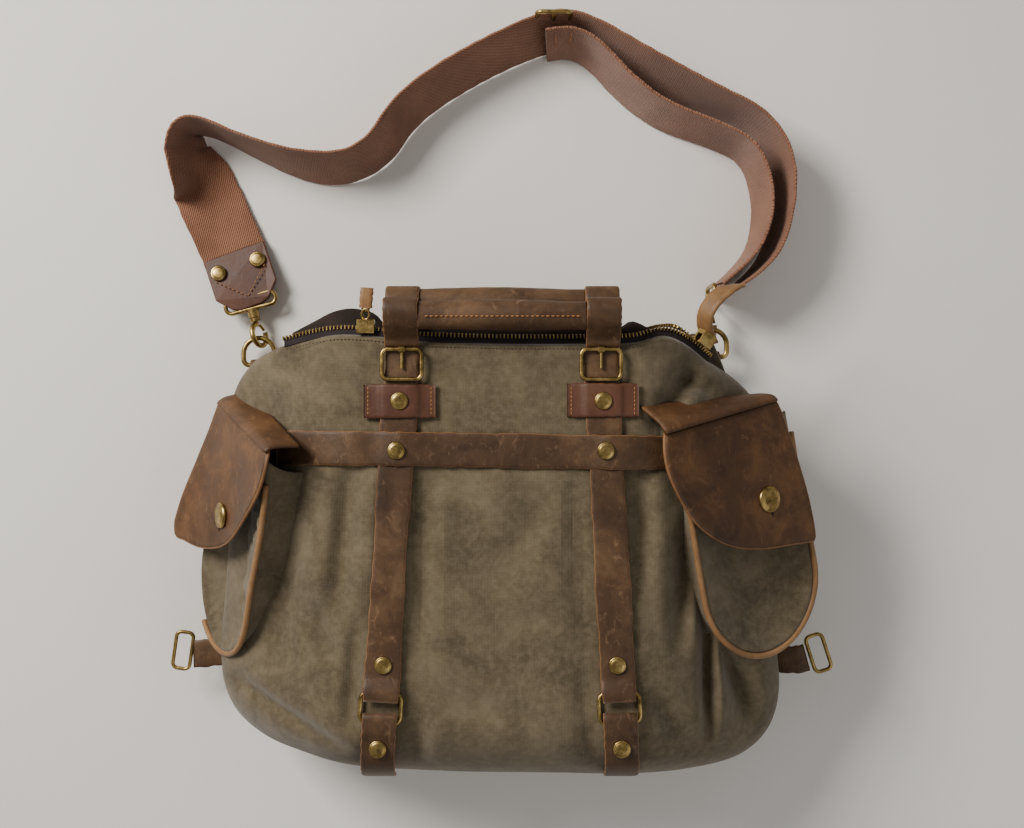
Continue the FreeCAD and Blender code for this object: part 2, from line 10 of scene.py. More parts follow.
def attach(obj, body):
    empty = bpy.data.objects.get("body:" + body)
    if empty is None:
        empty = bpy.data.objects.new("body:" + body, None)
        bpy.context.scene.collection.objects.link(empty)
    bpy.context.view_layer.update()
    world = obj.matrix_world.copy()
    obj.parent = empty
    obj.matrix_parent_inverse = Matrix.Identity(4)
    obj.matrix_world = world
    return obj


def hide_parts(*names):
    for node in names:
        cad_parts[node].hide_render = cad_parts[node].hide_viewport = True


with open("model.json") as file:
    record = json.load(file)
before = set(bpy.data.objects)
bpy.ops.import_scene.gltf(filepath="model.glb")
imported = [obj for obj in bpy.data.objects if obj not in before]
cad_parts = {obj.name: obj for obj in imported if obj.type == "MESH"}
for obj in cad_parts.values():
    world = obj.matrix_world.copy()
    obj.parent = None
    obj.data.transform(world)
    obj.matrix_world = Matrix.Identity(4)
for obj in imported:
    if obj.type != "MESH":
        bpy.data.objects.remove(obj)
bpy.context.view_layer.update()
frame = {"record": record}
random.seed(7)
MM = 0.001
UP = Vector((0, 0, 1))


def mm(*values):
    return Vector(values) * MM


# ------------------------------------------------------------------ camera, light and floor
def add_camera():
    data = bpy.data.cameras.new("camera")
    data.lens = 50.0
    data.sensor_width = 36.0
    camera = bpy.data.objects.new("camera", data)
    camera.location = (0.0066, 0.100, 1.12)
    bpy.context.scene.collection.objects.link(camera)
    bpy.context.scene.camera = camera


def add_area(name, place, target, size, power, colour):
    data = bpy.data.lights.new(name, "AREA")
    data.size = size
    data.energy = power
    data.color = colour
    light = bpy.data.objects.new(name, data)
    light.location = place
    light.rotation_euler = (Vector(target) - Vector(place)).to_track_quat("-Z", "Y").to_euler()
    bpy.context.scene.collection.objects.link(light)


def add_stage():
    add_camera()
    add_area("key", (-1.2, 1.0, 1.3), (0, 0.1, 0.05), 0.7, 52.0, (1.0, 0.97, 0.93))
    add_area("fill", (1.3, -0.9, 1.5), (0, 0.0, 0.05), 1.6, 9.0, (0.95, 0.97, 1.0))
    world = bpy.data.worlds.new("studio")
    world.use_nodes = True
    world.node_tree.nodes["Background"].inputs["Color"].default_value = (1.0, 0.98, 0.96, 1.0)
    world.node_tree.nodes["Background"].inputs["Strength"].default_value = 0.33
    bpy.context.scene.world = world
    side = 4.0
    floor = new_mesh("floor", [(-side, -side, 0), (side, -side, 0), (side, side, 0), (-side, side, 0)],
                     [(0, 1, 2, 3)], stage_material())
    floor.location.z = -0.0004


# ------------------------------------------------------------------ materials
class Graph:
    """A short way to write a material's node tree."""

    def __init__(self, name):
        self.material = bpy.data.materials.new(name)
        self.material.use_nodes = True
        self.nodes = self.material.node_tree.nodes
        self.links = self.material.node_tree.links
        self.shader = self.nodes["Principled BSDF"]
        self.place = self.add("ShaderNodeTexCoord").outputs["Object"]

    def add(self, kind, inputs=None, **settings):
        node = self.nodes.new(kind)
        for key, value in settings.items():
            setattr(node, key, value)
        for key, value in (inputs or {}).items():
            self.feed(node.inputs[key], value)
        return node

    def feed(self, socket, value):
        if isinstance(value, bpy.types.NodeSocket):
            self.links.new(value, socket)
        else:
            socket.default_value = value

    def noise(self, scale, detail=4.0, rough=0.55, stretch=None, warp=0.0):
        inputs = {"Scale": scale, "Detail": detail, "Roughness": rough, "Distortion": warp,
                  "Vector": self.stretched(stretch)}
        return self.add("ShaderNodeTexNoise", inputs).outputs["Fac"]

    def stretched(self, stretch):
        if stretch is None:
            return self.place
        return self.add("ShaderNodeMapping", {"Scale": stretch, "Vector": self.place}).outputs["Vector"]

    def wave(self, scale, direction, source=None, warp=0.0):
        inputs = {"Scale": scale, "Distortion": warp, "Vector": source or self.place}
        return self.add("ShaderNodeTexWave", inputs, bands_direction=direction).outputs["Fac"]

    def ramp(self, source, stops):
        node = self.add("ShaderNodeValToRGB")
        while len(node.color_ramp.elements) < len(stops):
            node.color_ramp.elements.new(0.5)
        for element, (position, value) in zip(node.color_ramp.elements, stops):
            element.position = position
            element.color = (value, value, value, 1.0) if isinstance(value, float) else (*value, 1.0)
        self.feed(node.inputs["Fac"], source)
        return node.outputs["Color"]

    def mix(self, low, high, factor, kind="MIX"):
        node = self.add("ShaderNodeMix", data_type="RGBA", blend_type=kind)
        for key, value in (("Factor", factor), ("A", low), ("B", high)):
            self.feed(node.inputs[key], (*value, 1.0) if isinstance(value, tuple) else value)
        return node.outputs["Result"]

    def maths(self, kind, a, b):
        node = self.add("ShaderNodeMath", operation=kind)
        self.feed(node.inputs[0], a)
        self.feed(node.inputs[1], b)
        return node.outputs[0]

    def finish(self, colour, rough, heights, sheen=0.0, metal=0.0, specular=0.5):
        values = {"Base Color": colour, "Roughness": rough, "Metallic": metal, "Specular IOR Level": specular,
                  "Sheen Weight": sheen, "Sheen Roughness": 0.5}
        for key, value in values.items():
            self.feed(self.shader.inputs[key], value)
        normal = None
        for height, strength, distance in heights:
            bump = self.add("ShaderNodeBump", {"Strength": strength, "Distance": distance, "Height": height})
            if normal is not None:
                self.feed(bump.inputs["Normal"], normal)
            normal = bump.outputs["Normal"]
        if normal is not None:
            self.feed(self.shader.inputs["Normal"], normal)
        return self.material


def stage_material():
    graph = Graph("pale_floor")
    tone = graph.ramp(graph.noise(3.0), [(0.3, (0.74, 0.70, 0.65)), (0.8, (0.79, 0.755, 0.705))])
    return graph.finish(tone, 0.75, [])


def canvas_material():
    graph = Graph("canvas")
    mottle = graph.noise(26.0, 6.0, 0.62, warp=0.6)
    dry = graph.noise(190.0, 5.0, 0.7)
    base = graph.ramp(mottle, [(0.30, (0.066, 0.049, 0.027)), (0.52, (0.112, 0.084, 0.047)),
                               (0.74, (0.165, 0.128, 0.078))])
    flecks = graph.ramp(dry, [(0.42, 0.0), (0.72, 1.0)])
    worn = graph.mix(base, (0.21, 0.170, 0.110), graph.maths("MULTIPLY", flecks, 0.42))
    warp_yarn = graph.wave(310.0, "X", warp=1.2)
    weft_yarn = graph.wave(310.0, "Y", warp=1.2)
    weave = graph.maths("MULTIPLY", warp_yarn, weft_yarn)
    shade = graph.ramp(weave, [(0.0, 0.88), (1.0, 1.10)])
    colour = graph.mix(worn, shade, 1.0, "MULTIPLY")
    return graph.finish(colour, 0.88, [(mottle, 0.25, 0.0012), (dry, 0.35, 0.0005), (weave, 0.5, 0.0003)],
                        sheen=0.18, specular=0.2)


def leather_material(name, dark, middle, light, scratch, rough=0.52):
    """Waxed pull-up leather: cloudy tone, pale scuffs and fine pores."""
    graph = Graph(name)
    cloud = graph.noise(34.0, 8.0, 0.72, warp=0.5)
    patch = graph.noise(9.0, 3.0, 0.5, warp=0.4)
    tone = graph.maths("ADD", graph.maths("MULTIPLY", cloud, 0.62), graph.maths("MULTIPLY", patch, 0.38))
    base = graph.ramp(tone, [(0.32, dark), (0.50, middle), (0.72, light)])
    scuffs = graph.noise(130.0, 9.0, 0.8, stretch=(1.0, 0.6, 1.0), warp=1.2)
    scuff_mask = graph.ramp(scuffs, [(0.56, 0.0), (0.70, 1.0)])
    pale = tuple(min(1.0, value * 1.5 + 0.02) for value in light)
    colour = graph.mix(base, pale, graph.maths("MULTIPLY", scuff_mask, scratch))
    pores = graph.noise(900.0, 3.0, 0.6)
    grain = graph.noise(240.0, 5.0, 0.65)
    gloss = graph.ramp(tone, [(0.3, rough - 0.1), (0.8, rough + 0.16)])
    return graph.finish(colour, gloss, [(cloud, 0.25, 0.0010), (grain, 0.35, 0.0005), (pores, 0.4, 0.00018)],
                        specular=0.3)


def brass_material():
    graph = Graph("brass")
    stain = graph.noise(120.0, 6.0, 0.65)
    fine = graph.noise(700.0, 4.0, 0.6)
    colour = graph.ramp(stain, [(0.33, (0.13, 0.085, 0.028)), (0.52, (0.36, 0.25, 0.085)),
                                (0.72, (0.54, 0.40, 0.165))])
    rough = graph.ramp(fine, [(0.3, 0.24), (0.75, 0.46)])
    return graph.finish(colour, rough, [(stain, 0.12, 0.0004), (fine, 0.15, 0.0001)], metal=1.0)


def webbing_material():
    """Cotton webbing with ribs along its length and slanting twill across them."""
    graph = Graph("webbing")
    lengthways = graph.add("ShaderNodeUVMap").outputs["UV"]
    turned = graph.add("ShaderNodeMapping", {"Rotation": (0, 0, math.radians(38)), "Vector": lengthways})
    twill = graph.wave(200.0, "X", turned.outputs["Vector"], warp=0.6)
    ribs = graph.wave(170.0, "X", lengthways)
    rows = graph.wave(230.0, "Y", lengthways, warp=0.8)
    weave = graph.maths("ADD", graph.maths("MULTIPLY", twill, 0.6),
                        graph.maths("MULTIPLY", graph.maths("MULTIPLY", ribs, rows), 0.4))
    cloud = graph.noise(30.0, 5.0, 0.6)
    base = graph.ramp(cloud, [(0.3, (0.205, 0.086, 0.046)), (0.7, (0.315, 0.142, 0.080))])
    shade = graph.ramp(weave, [(0.05, 0.50), (0.8, 1.25)])
    colour = graph.mix(base, shade, 1.0, "MULTIPLY")
    return graph.finish(colour, 0.85, [(weave, 0.85, 0.0007)], sheen=0.2, specular=0.2)


def cloth_material(name, dark, light, pitch):
    graph = Graph(name)
    cloud = graph.noise(40.0, 4.0, 0.6)
    base = graph.ramp(cloud, [(0.3, dark), (0.75, light)])
    weave = graph.maths("MULTIPLY", graph.wave(pitch, "X"), graph.wave(pitch, "Y"))
    return graph.finish(base, 0.85, [(cloud, 0.5, 0.002), (weave, 0.4, 0.0003)], specular=0.25)


def thread_material():
    graph = Graph("thread")
    tone = graph.ramp(graph.noise(300.0), [(0.3, (0.20, 0.075, 0.018)), (0.8, (0.42, 0.19, 0.06))])
    return graph.finish(tone, 0.7, [])


# ------------------------------------------------------------------ mesh tools
def new_mesh(name, points, faces, material, uvs=None):
    mesh = bpy.data.meshes.new(name)
    mesh.from_pydata([tuple(point) for point in points], [], faces)
    if uvs is not None:
        layer = mesh.uv_layers.new(name="UVMap")
        for loop in mesh.loops:
            layer.data[loop.index].uv = uvs[loop.vertex_index]
    mesh.materials.append(material)
    for polygon in mesh.polygons:
        polygon.use_smooth = True
    mesh.update()
    piece = bpy.data.objects.new(name, mesh)
    bpy.context.scene.collection.objects.link(piece)
    return piece


def grid_faces(rows, columns, closed=False, flip=False, first=0):
    """Quads between rows of points; a closed row also joins its last point to its first."""
    width = columns if closed else columns + 1
    faces = []
    for row in range(rows):
        for column in range(columns):
            a = first + row * width + column
            b = first + row * width + (column + 1) % width
            faces.append((a, a + width, b + width, b) if flip else (a, b, b + width, a + width))
    return faces


def solid_faces(rows, columns, first=0):
    """The quads of a closed tube of points, with a face over each end."""
    start = range(first + columns - 1, first - 1, -1)
    end = range(first + rows * columns, first + (rows + 1) * columns)
    return grid_faces(rows, columns, closed=True, first=first) + [tuple(start), tuple(end)]


def circle(middle, across, other, radius, sides):
    """Points round a middle, in the plane of two directions."""
    turns = [2 * math.pi * side / sides for side in range(sides)]
    return [middle + (across * math.cos(turn) + other * math.sin(turn)) * radius for turn in turns]


def settle(piece, body, stands_for=()):
    """Give a piece its body, and hide the CAD nodes that it stands for."""
    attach(piece, body)
    if stands_for:
        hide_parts(*stands_for)
    return piece


def curve_points(knots, count):
    """Points evenly along a Catmull-Rom curve through the knots."""
    dense = []
    steps = 24
    for index in range(len(knots) - 1):
        before = knots[max(index - 1, 0)]
        after = knots[min(index + 2, len(knots) - 1)]
        start, end = knots[index], knots[index + 1]
        for step in range(steps):
            t = step / steps
            square = 2 * before - 5 * start + 4 * end - after
            cube = 3 * start - before - 3 * end + after
            dense.append(0.5 * ((2 * start) + (end - before) * t + square * t * t + cube * t ** 3))
    dense.append(knots[-1].copy())
    return even_points(dense, count)


def route(knots, count):
    """A smooth path through knots, given in mm."""
    return curve_points([mm(*knot) for knot in knots], count)


def run_length(path):
    return sum((b - a).length for a, b in zip(path, path[1:]))


def even_points(dense, count):
    lengths = [0.0]
    for a, b in zip(dense, dense[1:]):
        lengths.append(lengths[-1] + (b - a).length)
    result = []
    spot = 0
    for index in range(count):
        goal = lengths[-1] * index / (count - 1)
        while spot < len(dense) - 2 and lengths[spot + 1] < goal:
            spot += 1
        span = max(lengths[spot + 1] - lengths[spot], 1e-9)
        share = min(max((goal - lengths[spot]) / span, 0.0), 1.0)
        result.append(dense[spot].lerp(dense[spot + 1], share))
    return result


def tangents(path):
    result = []
    for index in range(len(path)):
        ahead = path[min(index + 1, len(path) - 1)]
        behind = path[max(index - 1, 0)]
        result.append((ahead - behind).normalized())
    return result


def faces_over_x(path, upward=False):
    """Normals of a strip that bends about the X axis, turned upwards if asked."""
    normals = [Vector((1, 0, 0)).cross(line).normalized() for line in tangents(path)]
    return [normal if normal.z > 0 or not upward else -normal for normal in normals]


CUT_SIDES = (0, 1, 7, 8, 9, 13)    # the sides of a ribbon's section that show its cut edge


def ribbon(name, path, normals, width, thick, material, wander=0.0, rim=None):
    """A flat strip with rounded, paler cut edges; its normals say which way its face looks.

    Its width, thickness and the unevenness of its edges are in mm.
    """
    half_t = thick * MM / 2.0
    points, uvs = [], []
    along = 0.0
    lines = tangents(path)
    for index, spot in enumerate(path):
        half = (width[index] if isinstance(width, list) else width) * MM / 2.0
        half += wander * MM * noise.noise(Vector((index * 0.31, len(path), 4.2)))
        edge = min(half_t * 0.8, half * 0.3)
        section = [(-half, -half_t * 0.35), (-half, half_t * 0.35), (-half + edge * 0.5, half_t * 0.85),
                   (-half + edge * 2, half_t), (-half * 0.4, half_t), (half * 0.4, half_t),
                   (half - edge * 2, half_t), (half - edge * 0.5, half_t * 0.85), (half, half_t * 0.35),
                   (half, -half_t * 0.35), (half - edge * 0.5, -half_t * 0.85), (half - edge * 2, -half_t),
                   (-half + edge * 2, -half_t), (-half + edge * 0.5, -half_t * 0.85)]
        normal = normals[index] if isinstance(normals, list) else normals
        across = lines[index].cross(normal).normalized()
        face = across.cross(lines[index]).normalized()
        if index:
            along += (spot - path[index - 1]).length
        for u, v in section:
            points.append(spot + across * u + face * v)
            uvs.append((u, along))
    count = len(section)
    faces = grid_faces(len(path) - 1, count, closed=True)
    faces.append(tuple(range(count)))
    faces.append(tuple(range(len(points) - 1, len(points) - count - 1, -1)))
    piece = new_mesh(name, points, faces, material, uvs)
    if rim is not None:
        piece.data.materials.append(rim)
        for polygon in piece.data.polygons:
            if polygon.index % count in CUT_SIDES or len(polygon.vertices) > 4:
                polygon.material_index = 1
    return piece


def tube(name, path, radius, material, sides=10, closed=False):
    """A round tube along a path; its radius in mm is one number or a list, one for each point."""
    points = []
    lines = tangents(path)
    if closed:
        lines[0] = lines[-1] = (path[1] - path[-2]).normalized()
    across = lines[0].orthogonal().normalized()
    rings = len(path) - 1 if closed else len(path)
    for index in range(rings):
        across = (across - lines[index] * across.dot(lines[index])).normalized()
        other = lines[index].cross(across)
        size = radius[index] if isinstance(radius, list) else radius
        points += circle(path[index], across, other, size * MM, sides)
    faces = grid_faces(rings, sides, closed=True) if closed else solid_faces(rings - 1, sides)
    faces = [tuple(index % len(points) for index in face) for face in faces]
    return new_mesh(name, points, faces, material)


def join(pieces, name):
    """Join several new meshes, which share their materials, into one piece."""
    points, faces, slots = [], [], []
    for piece in pieces:
        base = len(points)
        points += [vertex.co.copy() for vertex in piece.data.vertices]
        faces += [tuple(index + base for index in polygon.vertices) for polygon in piece.data.polygons]
        slots += [polygon.material_index for polygon in piece.data.polygons]
    materials = list(pieces[0].data.materials)
    for piece in pieces:
        bpy.data.meshes.remove(piece.data)
    whole = new_mesh(name, points, faces, materials[0])
    for material in materials[1:]:
        whole.data.materials.append(material)
    for polygon, slot in zip(whole.data.polygons, slots):
        polygon.material_index = slot
    return whole


# ------------------------------------------------------------------ the shoulder strap's webbing
MAIN_ROUTE = [(-208.5, 220.5), (-230, 268), (-244, 298), (-247, 320), (-231, 323), (-196, 306), (-157, 291),
              (-122, 288), (-95, 303), (-80, 328), (-58, 348), (-18, 372), (26, 392), (50, 397), (76, 385),
              (108, 367), (152, 345), (196, 325), (217, 292), (214, 244), (197, 208), (166, 190)]
RETURN_ROUTE = [(33, 383.5), (45, 386), (58, 384), (72, 375), (93, 351), (122, 329), (163, 315), (191, 301),
                (201, 265), (196, 234), (184, 215), (165, 199)]
WEB_WIDTH = 50.0


def smooth_route(name, route, height):
    """Points read from a smooth spline that has the route's points as its control points."""
    curve = bpy.data.curves.new(name, "CURVE")
    curve.dimensions = "3D"
    curve.resolution_u = 10
    spline = curve.splines.new("NURBS")
    spline.points.add(len(route) - 1)
    for point, (x, y) in zip(spline.points, route):
        point.co = (x * MM, y * MM, height * MM, 1.0)
    spline.order_u = 3
    spline.use_endpoint_u = True
    holder = bpy.data.objects.new(name, curve)
    mesh = bpy.data.meshes.new_from_object(holder)
    path = [vertex.co.copy() for vertex in mesh.vertices]
    bpy.data.objects.remove(holder)
    bpy.data.curves.remove(curve)
    bpy.data.meshes.remove(mesh)
    return path


def lean_along(share, stops):
    """The lean of the webbing, in degrees from standing on edge, between listed stops."""
    for (a, low), (b, high) in zip(stops, stops[1:]):
        if share <= b:
            blend = (share - a) / (b - a)
            blend = blend * blend * (3 - 2 * blend)
            return low + (high - low) * blend
    return stops[-1][1]


def add_webbing(name, node, route, stops, material, start_lift=0.0):
    """Webbing that leans as it runs; 0 degrees stands on edge, 90 lies flat with its face up."""
    path = even_points(smooth_route(name, route, 22.0), 260)
    lines = tangents(path)
    normals = []
    centre = []
    for index, spot in enumerate(path):
        share = index / (len(path) - 1)
        angle = math.radians(lean_along(share, stops))
        side = lines[index].cross(UP).normalized()
        normal = side * math.cos(angle) + UP * math.sin(angle)
        rise = abs(math.cos(angle)) * WEB_WIDTH / 2.0 + 1.6
        rise += start_lift * max(0.0, 1.0 - share / 0.08)
        centre.append(Vector((spot.x, spot.y, rise * MM)))
        normals.append(normal)
    piece = ribbon(name, centre, normals, WEB_WIDTH, 2.4, material, wander=1.2)
    settle(piece, "bag", (node,))
    return piece, centre


# ------------------------------------------------------------------ the canvas body
LIP = [(-152, 148, 127), (-119, 154.5, 138), (-90, 154.0, 142), (-62, 150.5, 143), (0, 148.5, 143),
       (60, 148.5, 142), (90, 149.5, 139), (112, 154.5, 132), (129, 149, 122), (145, 138, 108)]
RIGHT_EDGE = [(168, 126, 84), (186, 109, 70), (198, 84, 62), (203, 45, 60), (204, 0, 60), (203, -60, 60),
              (206, -105, 58), (198, -134, 56), (176, -153, 56), (140, -161, 58)]
BASE_EDGE = [(90, -163, 62), (30, -162, 64), (-40, -161, 64), (-108, -157, 62), (-150, -148, 58),
             (-180, -136, 56), (-202, -114, 58), (-210, -80, 60)]
LEFT_EDGE = [(-206, -20, 60), (-203, 40, 60), (-204, 85, 62), (-197, 117, 74), (-178, 138, 98)]
CREASES = [
    # start x, y, end x, y, half width, depth
    (129, 20, 122, -60, 8, 9), (153, -58, 172, -112, 6, 9), (143, -22, 145, -128, 5.5, 13),
    (95, 60, 95, -18, 8, 7), (141, 34, 147, -40, 11, 9), (168, -70, 180, -122, 10, 10),
    (107, 92, 133, 132, 8, 8.5), (121, 128, 150, 116, 7, 8), (150, 92, 172, 108, 8, 8),
    (-104, 62, -114, -36, 9, 8.5), (-100, -48, -104, -112, 8, 7.5), (-134, -30, -118, -74, 11, 7),
    (-190, -92, -112, -130, 6, 6.5), (-120, 132, -88, 102, 9, 5.2), (-150, 20, -156, -70, 13, 7),
    (-52, 50, -58, -60, 8, 4.5), (50, 50, 58, -52, 8, 4.5), (56, -84, 66, -142, 8, 4.5),
    (-56, -100, -62, -148, 8, 4.2), (-30, 20, 20, -70, 14, 3.5), (30, 40, -6, -20, 12, 2.6),
    (104, -96, 132, -126, 8, 5.5), (-30, -96, 30, -112, 10, 3.0), (20, -120, 48, -150, 10, 2.0),
    (-40, 140, -20, 112, 12, 2.0), (30, 140, 48, 110, 12, 2.4), (-176, 118, -150, 92, 11, 4.0),
    (118, -128, 164, -146, 8, 4.0),
]


def segment_fade(x, y, x0, y0, x1, y1, width):
    """1 on the segment, falling away to the sides and past the ends."""
    dx, dy = x1 - x0, y1 - y0
    length2 = dx * dx + dy * dy
    t = ((x - x0) * dx + (y - y0) * dy) / length2
    t_in = min(max(t, 0.0), 1.0)
    gap = math.hypot(x - x0 - dx * t_in, y - y0 - dy * t_in)
    taper = math.sin(math.pi * min(max(0.08 + 0.84 * t_in, 0.0), 1.0)) ** 0.6
    return math.exp(-(gap / width) ** 2) * taper


def plateau(x):
    """Height of the stuffed front in mm, before its folds and its rounded edge."""
    gap = max(x - 84, -96 - x, 0)
    return 146.0 - (0.30 * gap ** 2 / 40 if gap < 40 else 12 + 0.60 * (gap - 40))


def folds(x, y):
    drop = 0.0
    for x0, y0, x1, y1, width, depth in CREASES:
        drop -= 1.35 * depth * segment_fade(x, y, x0, y0, x1, y1, width)
        drop += 0.35 * depth * segment_fade(x, y, x0 + width * 1.7, y0, x1 + width * 1.7, y1, width)
    soft = noise.fractal(Vector((x * 0.011, y * 0.011, 3.1)), 1.0, 2.1, 3)
    small = noise.fractal(Vector((x * 0.04, y * 0.032, 8.7)), 1.0, 2.1, 3)
    return drop + 3.0 * soft + 1.1 * small


def strap_ground(x, y):
    """How far the folds may reach: none of them lifts or sinks the cloth under the straps."""
    over = 0.0
    for sign in (-1, 1):
        over = max(over, math.exp(-((x - strap_x(sign, y)) / 15.0) ** 2))
    if -150 < x < 108:
        over = max(over, math.exp(-((y - 75.0) / 15.0) ** 2))
    return 1.0 - 0.9 * over


def front_height(x, y):
    return plateau(x) + folds(x, y) * strap_ground(x, y)


def strap_x(sign, y):
    """The middle line of the left (-1) or right (1) front strap."""
    start, slope = (68.6, 0.0625) if sign < 0 else (67.4, 0.054)
    return sign * (start + (134.0 - y) * slope)


def outline(count_each):
    """The bag's outline as one closed loop, and where its open lip ends."""
    lip = [Vector(knot) for knot in LIP]
    rest = [Vector(knot) for knot in [LIP[-1]] + RIGHT_EDGE + BASE_EDGE + LEFT_EDGE + [LIP[0]]]
    first = curve_points(lip, count_each)
    second = curve_points(rest, count_each * 3)
    return first + second[1:-1], count_each


def rounding(index, lip_count, count):
    """Radius of the rounded edge in mm: tight at the lip, wide elsewhere."""
    if index < lip_count:
        near = min(index, lip_count - 1 - index) / 14.0
        return 34.0 if near < 0.01 else max(7.0, 34.0 - 27.0 * min(near, 1.0))
    gap = min(index - lip_count, count - index) / 16.0
    return 34.0 + 20.0 * min(gap, 1.0)


def back_half(y):
    """Half the width of the back panel, which narrows at the base's corners and at the mouth."""
    return 176.0 - 60.0 * max(0.0, (-90.0 - y) / 50.0) ** 2 - 30.0 * max(0.0, (y - 98.0) / 59.0) ** 1.6


def back_height(x, y):
    """The back lies flat, then rises towards the rear lip and, more, towards the lip's two ends."""
    rise = max(0.0, (y - 40.0) / 117.0)
    wide = min(1.0, abs(x) / back_half(y))
    return 1.2 + 64.0 * rise ** 2 + 40.0 * rise ** 2 * wide ** 6


MIDDLE_STEP = 8.0     # the front's middle line is stepped, so that its points can be merged


def add_body(material):
    loop, lip_count = outline(120)
    count = len(loop)
    rings = 46
    points = []
    middles = []
    for spot in loop:
        steps = round(max(-96.0, min(88.0, spot.x)) / MIDDLE_STEP)
        middles.append(Vector((steps * MIDDLE_STEP, 0, 0)))
    for ring in range(rings + 1):
        share = (ring / rings) ** 0.75
        for index, spot in enumerate(loop):
            x = middles[index].x + (spot.x - middles[index].x) * share
            y = middles[index].y + (spot.y - middles[index].y) * share
            reach = math.hypot(spot.x - middles[index].x, spot.y - middles[index].y) * (1.0 - share)
            radius = rounding(index, lip_count, count)
            near = 1.0 - min(reach / radius, 1.0)
            top = front_height(x, y)
            arc = math.sqrt(max(0.0, 1.0 - near ** 2.2))
            points.append(mm(x, y, spot.z + (top - spot.z) * arc))
    start = rings * count
    faces = grid_faces(rings, count, closed=True)
    # The sides and the back go on from the outline, except along the open lip.
    wall_rings = 26
    previous = [start + index for index in range(count)]
    wall = list(range(lip_count - 1, count)) + [0]
    for ring in range(1, wall_rings + 1):
        share = ring / wall_rings
        row = {}
        for index in wall:
            spot = loop[index]
            inward = (middles[index] - Vector((spot.x, spot.y, 0))).normalized()
            if share < 0.55:
                turn = share / 0.55 * math.pi / 2.0
                step = 24.0 * (1.0 - math.cos(turn))
                foot = Vector((spot.x, spot.y, 0)) + inward * 24.0
                low = min(back_height(foot.x, foot.y), spot.z - 8.0)
                level = spot.z - (spot.z - low - 0.2) * math.sin(turn)
            else:
                step = 24.0 + (share - 0.55) / 0.45 * 60.0
                foot = Vector((spot.x, spot.y, 0)) + inward * step
                level = min(back_height(foot.x, foot.y), spot.z - 8.0) + 0.2
            wrinkle = 1.6 * noise.noise(Vector((spot.x * 0.03, spot.y * 0.03, share * 4.0)))
            wrinkle *= math.sin(math.pi * share)
            place = Vector((spot.x, spot.y, 0)) + inward * (step + wrinkle)
            row[index] = len(points)
            points.append(mm(place.x, place.y, level))
        for a, b in zip(wall, wall[1:]):
            faces.append((previous[a], previous[b], row[b], row[a]))
        previous = row
    piece = new_mesh("canvas_body", points, faces, material)
    weld(piece)
    thicken(piece, 1.6)
    settle(piece, "bag", ("front_panel", "gusset", "back_panel"))
    return loop, lip_count


def weld(piece):
    """Merge points that share a place, so the middle of the front closes."""
    work = bmesh.new()
    work.from_mesh(piece.data)
    bmesh.ops.remove_doubles(work, verts=work.verts, dist=0.02 * MM)
    bmesh.ops.dissolve_degenerate(work, edges=work.edges, dist=0.01 * MM)
    work.to_mesh(piece.data)
    work.free()


def thicken(piece, thickness, offset=-1.0):
    """Give an open sheet its thickness, as plain applied geometry."""
    modifier = piece.modifiers.new("thickness", "SOLIDIFY")
    modifier.thickness = thickness * MM
    modifier.offset = offset
    modifier.use_even_offset = False
    apply_modifiers(piece)


def apply_modifiers(piece):
    depsgraph = bpy.context.evaluated_depsgraph_get()
    final = bpy.data.meshes.new_from_object(piece.evaluated_get(depsgraph))
    old = piece.data
    piece.modifiers.clear()
    piece.data = final
    bpy.data.meshes.remove(old)
    for polygon in final.polygons:
        polygon.use_smooth = True


def add_back(material):
    """The back panel: flat on the table, rising to the rear lip and its two shoulders."""
    columns, rows = 60, 60
    points = []
    for row in range(rows + 1):
        v = row / rows
        y = -140.0 + 297.0 * v
        half = back_half(y)
        rise = max(0.0, (y - 40.0) / 117.0)
        for column in range(columns + 1):
            u = column / columns * 2.0 - 1.0
            x = u * half
            z = back_height(x, y) + 1.6 * rise * noise.noise(Vector((x * 0.03, y * 0.03, 1.0)))
            points.append(mm(x, y, z))
    piece = new_mesh("canvas_back", points, grid_faces(rows, columns, flip=True), material)
    thicken(piece, 1.4, 1.0)
    settle(piece, "bag")


# ------------------------------------------------------------------ leather on the front
STRAP = 23.5
LEATHER = 2.6
BAND_Y = 75.0
KEEPER_Y = 109.0


def strap_path(sign, levels):
    """Points down a front strap: each entry is y, the height above the cloth and, if set, a fixed z."""
    knots = []
    for y, lift, *fixed in levels:
        x = strap_x(sign, y)
        z = fixed[0] if fixed else max(front_height(x, y), plateau(x) - 1.0) + lift
        knots.append(mm(x, y, z))
    return knots


